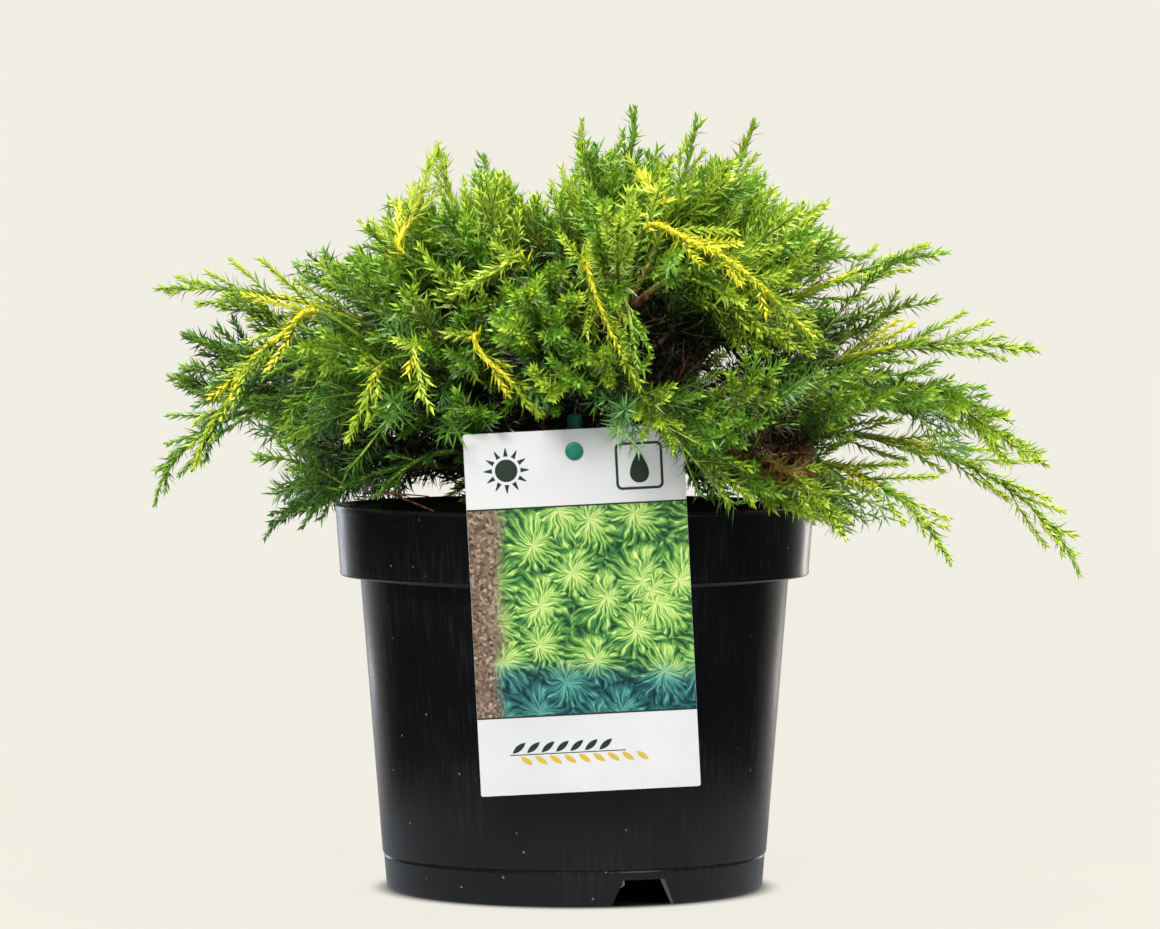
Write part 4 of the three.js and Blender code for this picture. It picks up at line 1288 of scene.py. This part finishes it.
COMPOST = compost_finish()
compost = turned("compost", COMPOST_PROFILE, 96, COMPOST)
for vertex in compost.data.vertices:
    if vertex.co.z > ROUGH_FROM:
        x, y = vertex.co.x / MM, vertex.co.y / MM
        vertex.co.z += (rough(x, y) + 0.4) * MM
        scale = min(1.0, COMPOST_RADIUS / max(1e-6, math.hypot(x, y)))
        vertex.co.x *= scale
        vertex.co.y *= scale
bm = bmesh.new()
bmesh.ops.create_icosphere(bm, subdivisions=1, radius=0.5)
for k, v in enumerate(bm.verts):
    v.co *= between(0.6, 1.15, k + 40)
    v.co.z *= 0.7
crumb = placed("crumb", mesh_of(bm, "crumb"))
grow(compost, crumb_tree(), Crumb=crumb, Finish=COMPOST, Crumbs_per_square_metre=90000.0, Least_size=0.0012,
     Most_size=0.0042, Seed=4)
bpy.data.objects.remove(crumb)
dress(compost, "compost", "soil")
print("compost:", len(compost.data.polygons), "faces")

# %% [markdown]
# ## The card
#
# A printed plastic card hangs on a round peg, which is pushed into the compost just inside the rim. The
# card here carries its own plain design: small signs for sun and water on a band of white, a panel in
# planting colours, and a row of leaves on a band of white. The prints are plates a few hundredths of a
# millimetre thick, so their edges stay sharp from any side.

# %% Flat shapes on the card
CARD_WIDTH = 83.6
CARD_HEIGHT = 137.9
CARD_THICKNESS = 0.8
INK_THICKNESS = 0.05
HOLE_DROP = 8.4
HOLE_RADIUS = 2.5
PANEL_DROP, PANEL_HEIGHT = 29.3, 78.7
CARD_PLACE = (Matrix.Translation(Vector(LABEL_CENTRE) * MM)
              @ Matrix.Rotation(math.radians(LABEL_TURN), 4, "Y"))


def plate(name, outlines, front, thickness, material):
    """A flat plate on the card's front. Outlines are loops of (across, up) in millimetres, and a loop
    inside another one is a hole. front is how far the plate's face stands before the card's middle."""
    bm = bmesh.new()
    for outline in outlines:
        loop = [bm.verts.new((x * MM, -front * MM, z * MM)) for x, z in outline]
        for a, b in zip(loop, loop[1:] + loop[:1]):
            bm.edges.new((a, b))
    bmesh.ops.triangle_fill(bm, edges=bm.edges[:], use_beauty=True)
    grown = bmesh.ops.extrude_face_region(bm, geom=bm.faces[:])
    back = [item for item in grown["geom"] if isinstance(item, bmesh.types.BMVert)]
    bmesh.ops.translate(bm, verts=back, vec=(0, thickness * MM, 0))
    bmesh.ops.recalc_face_normals(bm, faces=bm.faces)
    bm.transform(CARD_PLACE)
    mesh = mesh_of(bm, name)
    mesh.materials.append(material)
    return placed(name, mesh)


def printed(name, outlines, ink, layers=1):
    """A print on the card, one or more layers of ink thick."""
    return plate(name, outlines, CARD_THICKNESS / 2 + layers * INK_THICKNESS, layers * INK_THICKNESS, ink)


def ring_of(x, z, radius, count=32):
    return [(x + radius * math.cos(2 * math.pi * k / count),
             z + radius * math.sin(2 * math.pi * k / count)) for k in range(count)]


def box(x0, z0, x1, z1):
    return [(x0, z0), (x1, z0), (x1, z1), (x0, z1)]


def rounded(x0, z0, x1, z1, radius, count=6):
    """A rectangle with rounded corners."""
    loop = []
    for cx, cz, start in ((x1 - radius, z1 - radius, 0), (x0 + radius, z1 - radius, 90),
                          (x0 + radius, z0 + radius, 180), (x1 - radius, z0 + radius, 270)):
        for k in range(count + 1):
            a = math.radians(start + 90 * k / count)
            loop.append((cx + radius * math.cos(a), cz + radius * math.sin(a)))
    return loop


def wedge(x, z, turn, inner, outer, width):
    """A pointed ray of the sun sign."""
    a = math.radians(turn)
    along, across = (math.cos(a), math.sin(a)), (-math.sin(a), math.cos(a))
    return [(x + along[0] * r + across[0] * w, z + along[1] * r + across[1] * w)
            for r, w in ((inner, -width), (outer, -0.15), (outer, 0.15), (inner, width))]


def drop(x, z, size, count=28):
    """A drop of water, point upwards."""
    turns = [2 * math.pi * k / count for k in range(count)]
    return [(x + size * math.sin(a) * math.sin(a / 2) ** 1.5, z + size * 1.25 * math.cos(a)) for a in turns]


def leaf(x, z, turn, size, width):
    """A slim leaf that grows out of its place at a turn."""
    a = math.radians(turn)
    shape = [(size * k / 10, width * math.sin(math.pi * k / 10) ** 0.8) for k in range(11)]
    shape += [(u, -w) for u, w in shape[-2:0:-1]]
    return [(x + u * math.cos(a) - w * math.sin(a), z + u * math.sin(a) + w * math.cos(a)) for u, w in shape]


print("a leaf is a loop of", len(leaf(0, 0, 0, 1, 1)), "points, a drop one of", len(drop(0, 0, 1)))


# %% Finishes of the card
def card_finish():
    """Coated polypropylene card: white, smooth, with a slight gloss and a little handling grime."""
    material, tree = finish_of("coated_white_card", "#e8ebea", 0.35, Specular_IOR_Level=0.4)
    place = on_object(tree)
    feed(tree, Base_Color=ramp(tree, noise(tree, place, 28.0, 3.0), [(0.35, "#c8cdd4"), (0.6, "#d1d5dc")]))
    relief(tree, noise(tree, place, 2600.0, 1.0), 0.05, 0.0001)
    return material


def ink_finish(name, colour):
    """Printing ink, slightly uneven."""
    material, tree = finish_of(name, colour, 0.4)
    feed(tree, Roughness=graded(tree, noise(tree, on_object(tree), 900.0), 0.0, 1.0, 0.34, 0.48))
    return material


def panel_finish():
    """A printed panel of planting colours: tufts of pale fronds, teal shade and brown mulch."""
    material, tree = finish_of("printed_planting_panel", "#7fa052", 0.33, Specular_IOR_Level=0.45)
    local = on_object(tree, Location=tuple(-LABEL_CENTRE * MM))
    warp = add(tree, "ShaderNodeTexNoise", {"Vector": local, "Scale": 60.0, "Detail": 3.0}).outputs["Color"]
    bent = vector_calc(tree, "ADD", local, vector_calc(tree, "SCALE", warp, 0.012))
    parts = add(tree, "ShaderNodeSeparateXYZ", {"Vector": bent}).outputs
    # tufts some 17 mm across, with fronds that run out from the middle of each
    flat = add(tree, "ShaderNodeCombineXYZ", {"X": parts["X"], "Y": parts["Z"]}).outputs[0]
    tuft = cells(tree, flat, 58.0, voronoi_dimensions="2D")
    out = vector_calc(tree, "SUBTRACT", flat, tuft["Position"])
    arms = add(tree, "ShaderNodeSeparateXYZ", {"Vector": out}).outputs
    fan = calc(tree, "MULTIPLY", calc(tree, "ARCTAN2", arms["Y"], arms["X"]), 7.0)
    reach = calc(tree, "MULTIPLY", tuft["Distance"], 3.0)
    strokes = noise(tree, add(tree, "ShaderNodeCombineXYZ", {"X": fan, "Y": reach}).outputs[0], 1.0, 5.0)
    lit = calc(tree, "ADD", strokes, graded(tree, tuft["Distance"], 0.0, 0.7, 0.1, -0.12))
    green = ramp(tree, lit, [(0.3, "#173f28"), (0.44, "#4b8a44"), (0.54, "#97c25e"), (0.68, "#dce8a0")])
    teal = ramp(tree, lit, [(0.33, "#0f2f38"), (0.5, "#2b6a6c"), (0.66, "#63b0a0")])
    gravel = cells(tree, local, 900.0)["Color"]
    brown = ramp(tree, gravel, [(0.1, "#3a2f29"), (0.6, "#7b695b"), (1.0, "#b3a596")])
    leaves = blend(tree, graded(tree, parts["Z"], -0.012, -0.02), green, teal)
    feed(tree, Base_Color=blend(tree, graded(tree, parts["X"], -0.022, -0.027), leaves, brown))
    return material


CARD = card_finish()
DARK_INK = ink_finish("dark_green_ink", "#20302a")
GOLD_INK = ink_finish("gold_ink", "#c8ad3a")
PANEL = panel_finish()
print("finishes:", ", ".join(finish.name for finish in (CARD, DARK_INK, GOLD_INK, PANEL)))

# %% Make the card, its prints and its signs
half_w, half_h = CARD_WIDTH / 2, CARD_HEIGHT / 2
hole = ring_of(0.16, half_h - HOLE_DROP, HOLE_RADIUS)
card = plate("card", [rounded(-half_w, -half_h, half_w, half_h, radius=0.8), hole],
             CARD_THICKNESS / 2, CARD_THICKNESS, CARD)
inset = half_w - 0.05
panel_top = half_h - PANEL_DROP
panel_low = panel_top - PANEL_HEIGHT
panel = printed("card_panel", [box(-inset, panel_low, inset, panel_top)], PANEL)
lines = [printed(f"card_line_{k}", [box(-inset, z, inset, z + 0.6)], DARK_INK, layers=2)
         for k, z in enumerate((panel_top, panel_low - 0.6))]
sun = (-26.0, half_h - 14.5)
sun_rays = [wedge(*sun, turn=30 * k, inner=5.4, outer=8.6, width=0.9) for k in range(12)]
drop_x, drop_z = 24.5, half_h - 15.0
frame_loops = [rounded(drop_x - r, drop_z - r, drop_x + r, drop_z + r, corner)
               for r, corner in ((9, 2.2), (8, 1.4))]
signs = [printed("sign_sun", [ring_of(*sun, 4.3)] + sun_rays, DARK_INK),
         printed("sign_water", frame_loops, DARK_INK),
         printed("sign_drop", [drop(drop_x, drop_z, 5.2)], DARK_INK)]
sprig_z = -half_h + 15
dark_leaves = [leaf(-29 + 5.5 * k, sprig_z + 0.8, turn=38, size=6.4, width=1.1) for k in range(7)]
gold_leaves = [leaf(-26 + 5.5 * k, sprig_z - 0.5, turn=-36, size=5.6, width=1.0) for k in range(9)]
sprigs = [printed("sprig_dark", [box(-30, sprig_z, 14, sprig_z + 0.35)] + dark_leaves, DARK_INK),
          printed("sprig_gold", gold_leaves, GOLD_INK)]
for piece in [card, panel] + lines + signs + sprigs:
    dress(piece, "label", "label_card")
print("card pieces:", 2 + len(lines) + len(signs) + len(sprigs))

# %% [markdown]
# ## The peg
#
# The peg is a round stick of teal polypropylene with a snap button, which holds the card through its hole.
# Stick and button are turned shapes, the button with a domed face and a softened edge.

# %% Turn the peg and its button
def peg_finish():
    """Teal polypropylene, moulded: even colour, soft gloss, fine flow marks."""
    material, tree = finish_of("teal_polypropylene", "#15786a", 0.38, Specular_IOR_Level=0.45)
    flow = noise(tree, on_object(tree), 160.0)
    feed(tree, Base_Color=ramp(tree, flow, [(0.3, "#116b5e"), (0.7, "#1a8373")]))
    return material


TEAL = peg_finish()
STICK_PROFILE = [(0, 100), (1.2, 101), (2.75, 112), (2.75, 188.6), (2.5, 189.6), (1.9, 190), (0, 190)]
BUTTON_PROFILE = [(0, 0), (1.6, 0), (1.6, 19.6), (3.1, 19.6), (3.4, 19.9), (3.4, 20.5), (3.0, 20.85),
                  (1.9, 20.9), (0, 20.9)]
BUTTON_PLACE = Vector((0, -76.2, LABEL_CENTRE[2] + half_h - HOLE_DROP)) * MM
stick = turned("peg_stick", STICK_PROFILE, 28, TEAL)
stick.data.transform(Matrix.Translation((0, PEG_Y * MM, 0)))
button = turned("peg_button", BUTTON_PROFILE, 36, TEAL)
button.data.transform(Matrix.Translation(BUTTON_PLACE) @ Matrix.Rotation(math.radians(90), 4, "X"))
for piece in (stick, button):
    piece.data.set_sharp_from_angle(angle=math.radians(40))
    dress(piece, "stake", "label_stake")
print("button front at y", round(min(v.co.y for v in button.data.vertices) / MM, 2), "mm")

# %% [markdown]
# ## The studio
#
# A plain pale sweep, soft light from the upper front and from above, and a tall soft window on each side
# behind the plant, which draws the long highlights down the edges of the pot. A glowing disc that only
# reflections see stands for the floor near the pot in its glossy wall: a painted reflection. The floor
# further off is kept out of the reflections, as if the room were dark there.

# %% Floor
BACKGROUND = "#f1eee3"


def stage_floor(name, radius, z, material):
    """A disc of floor, its radius and height in metres."""
    count = 96
    vertices = [(0, 0, z)] + [(x, y, z) for x, y in ring_of(0, 0, radius, count)]
    faces = [(0, k + 1, (k + 1) % count + 1) for k in range(count)]
    return mesh_piece(name, vertices, faces, material, smooth=False)


# the paper is nearly black under the lights, so it takes no pools of light, and glows by itself
paper, tree = finish_of("pale_paper_sweep", BACKGROUND, 1.0, Base_Color=(0.022, 0.0214, 0.0192, 1),
                        Emission_Color=linear(BACKGROUND), Specular_IOR_Level=0.0)
off = length_in(tree, on_object(tree))
# painted shadow: the paper is dark under the pot and a little darker along its foot
under = graded(tree, off, 0.068, 0.085, 0.0, 0.955, interpolation_type="SMOOTHERSTEP")
# far off, where no light falls on it, it has to meet the background without an edge
feed(tree, Emission_Strength=calc(tree, "ADD", under, graded(tree, off, 0.5, 3.0, 0.0, 0.042)))
floor = stage_floor("floor", 12.0, 0.0, paper)
floor.visible_glossy = False
mirrored, _ = finish_of("pale_paper_near_the_pot", "#000000", 1.0, Emission_Color=linear("#e4ebf2"),
                        Emission_Strength=0.5, Specular_IOR_Level=0.0)
# half a millimetre under the first: a glowing disc that only the pot's wall sees, a painted reflection of the
# floor near the pot
near_floor = stage_floor("floor_near", 0.27, -0.0005, mirrored)
near_floor.visible_camera = near_floor.visible_shadow = near_floor.visible_diffuse = False
print("stage pieces:", floor.name, "and", near_floor.name)

# %% Background and lights
world = bpy.data.worlds.new("studio")
bpy.context.scene.world = world
world.use_nodes = True
sky = world.node_tree
sky.nodes.clear()
rays = add(sky, "ShaderNodeLightPath").outputs["Is Camera Ray"]
seen = add(sky, "ShaderNodeBackground", {"Color": linear(BACKGROUND), "Strength": 1.0}).outputs[0]
look = add(sky, "ShaderNodeTexCoord").outputs["Generated"]
split = add(sky, "ShaderNodeSeparateXYZ", {"Vector": look}).outputs
behind = graded(sky, split["Y"], 0.6, 0.99, 0.02, 0.7)
above = graded(sky, split["Z"], -0.1, 0.5, 0.0, 0.2)
soft = calc(sky, "ADD", behind, above)
felt = add(sky, "ShaderNodeBackground", {"Color": linear("#fbf9f4"), "Strength": soft}).outputs[0]
mixed = add(sky, "ShaderNodeMixShader", {0: rays, 1: felt, 2: seen}).outputs[0]
add(sky, "ShaderNodeOutputWorld", {"Surface": mixed})
CROWN = (0.0, -0.02, 0.2)
WARM, COOL = "#fffaf2", "#e6eeff"
# each soft light: its place, its width and height, its power in watts and its colour
LIGHTS = {
    "key_light": ((-0.55, -1.5, 1.35), 0.7, 0.5, 38, WARM),
    "fill_light": ((1.1, -1.3, 0.9), 0.7, 0.7, 12, WARM),
    "top_light": ((0.1, 0.1, 1.5), 0.7, 0.7, 33, WARM),
    "left_window": ((-0.74, 1.4, 0.45), 0.3, 1.1, 2.6, COOL),
    "right_window": ((0.74, 1.4, 0.45), 0.25, 1.1, 2.6, WARM),
}
for name, (place, width, height, power, colour) in LIGHTS.items():
    data = bpy.data.lights.new(name, "AREA")
    data.shape = "RECTANGLE"
    data.size, data.size_y = width, height
    data.energy = power
    data.color = linear(colour)[:3]
    lamp = placed(name, data)
    lamp.location = place
    lamp.rotation_euler = (Vector(CROWN) - Vector(place)).to_track_quat("-Z", "Y").to_euler()
print("lights:", len(LIGHTS))

# %% [markdown]
# ## The camera
#
# The photograph was taken from about 2 m away with a long lens, a little above the rim of the pot, and
# looks down by less than two degrees.

# %% Camera and colour management
LOOKS_DOWN = 1.876
camera_data = bpy.data.cameras.new("camera")
camera_data.lens = 164
camera_data.sensor_width = 36
camera_data.clip_end = 60
camera = placed("camera", camera_data)
camera.location = (0.0022, -2.1, 0.237)
camera.rotation_euler = (math.radians(90 - LOOKS_DOWN), 0, 0)
bpy.context.scene.camera = camera
bpy.context.scene.view_settings.view_transform = "Standard"
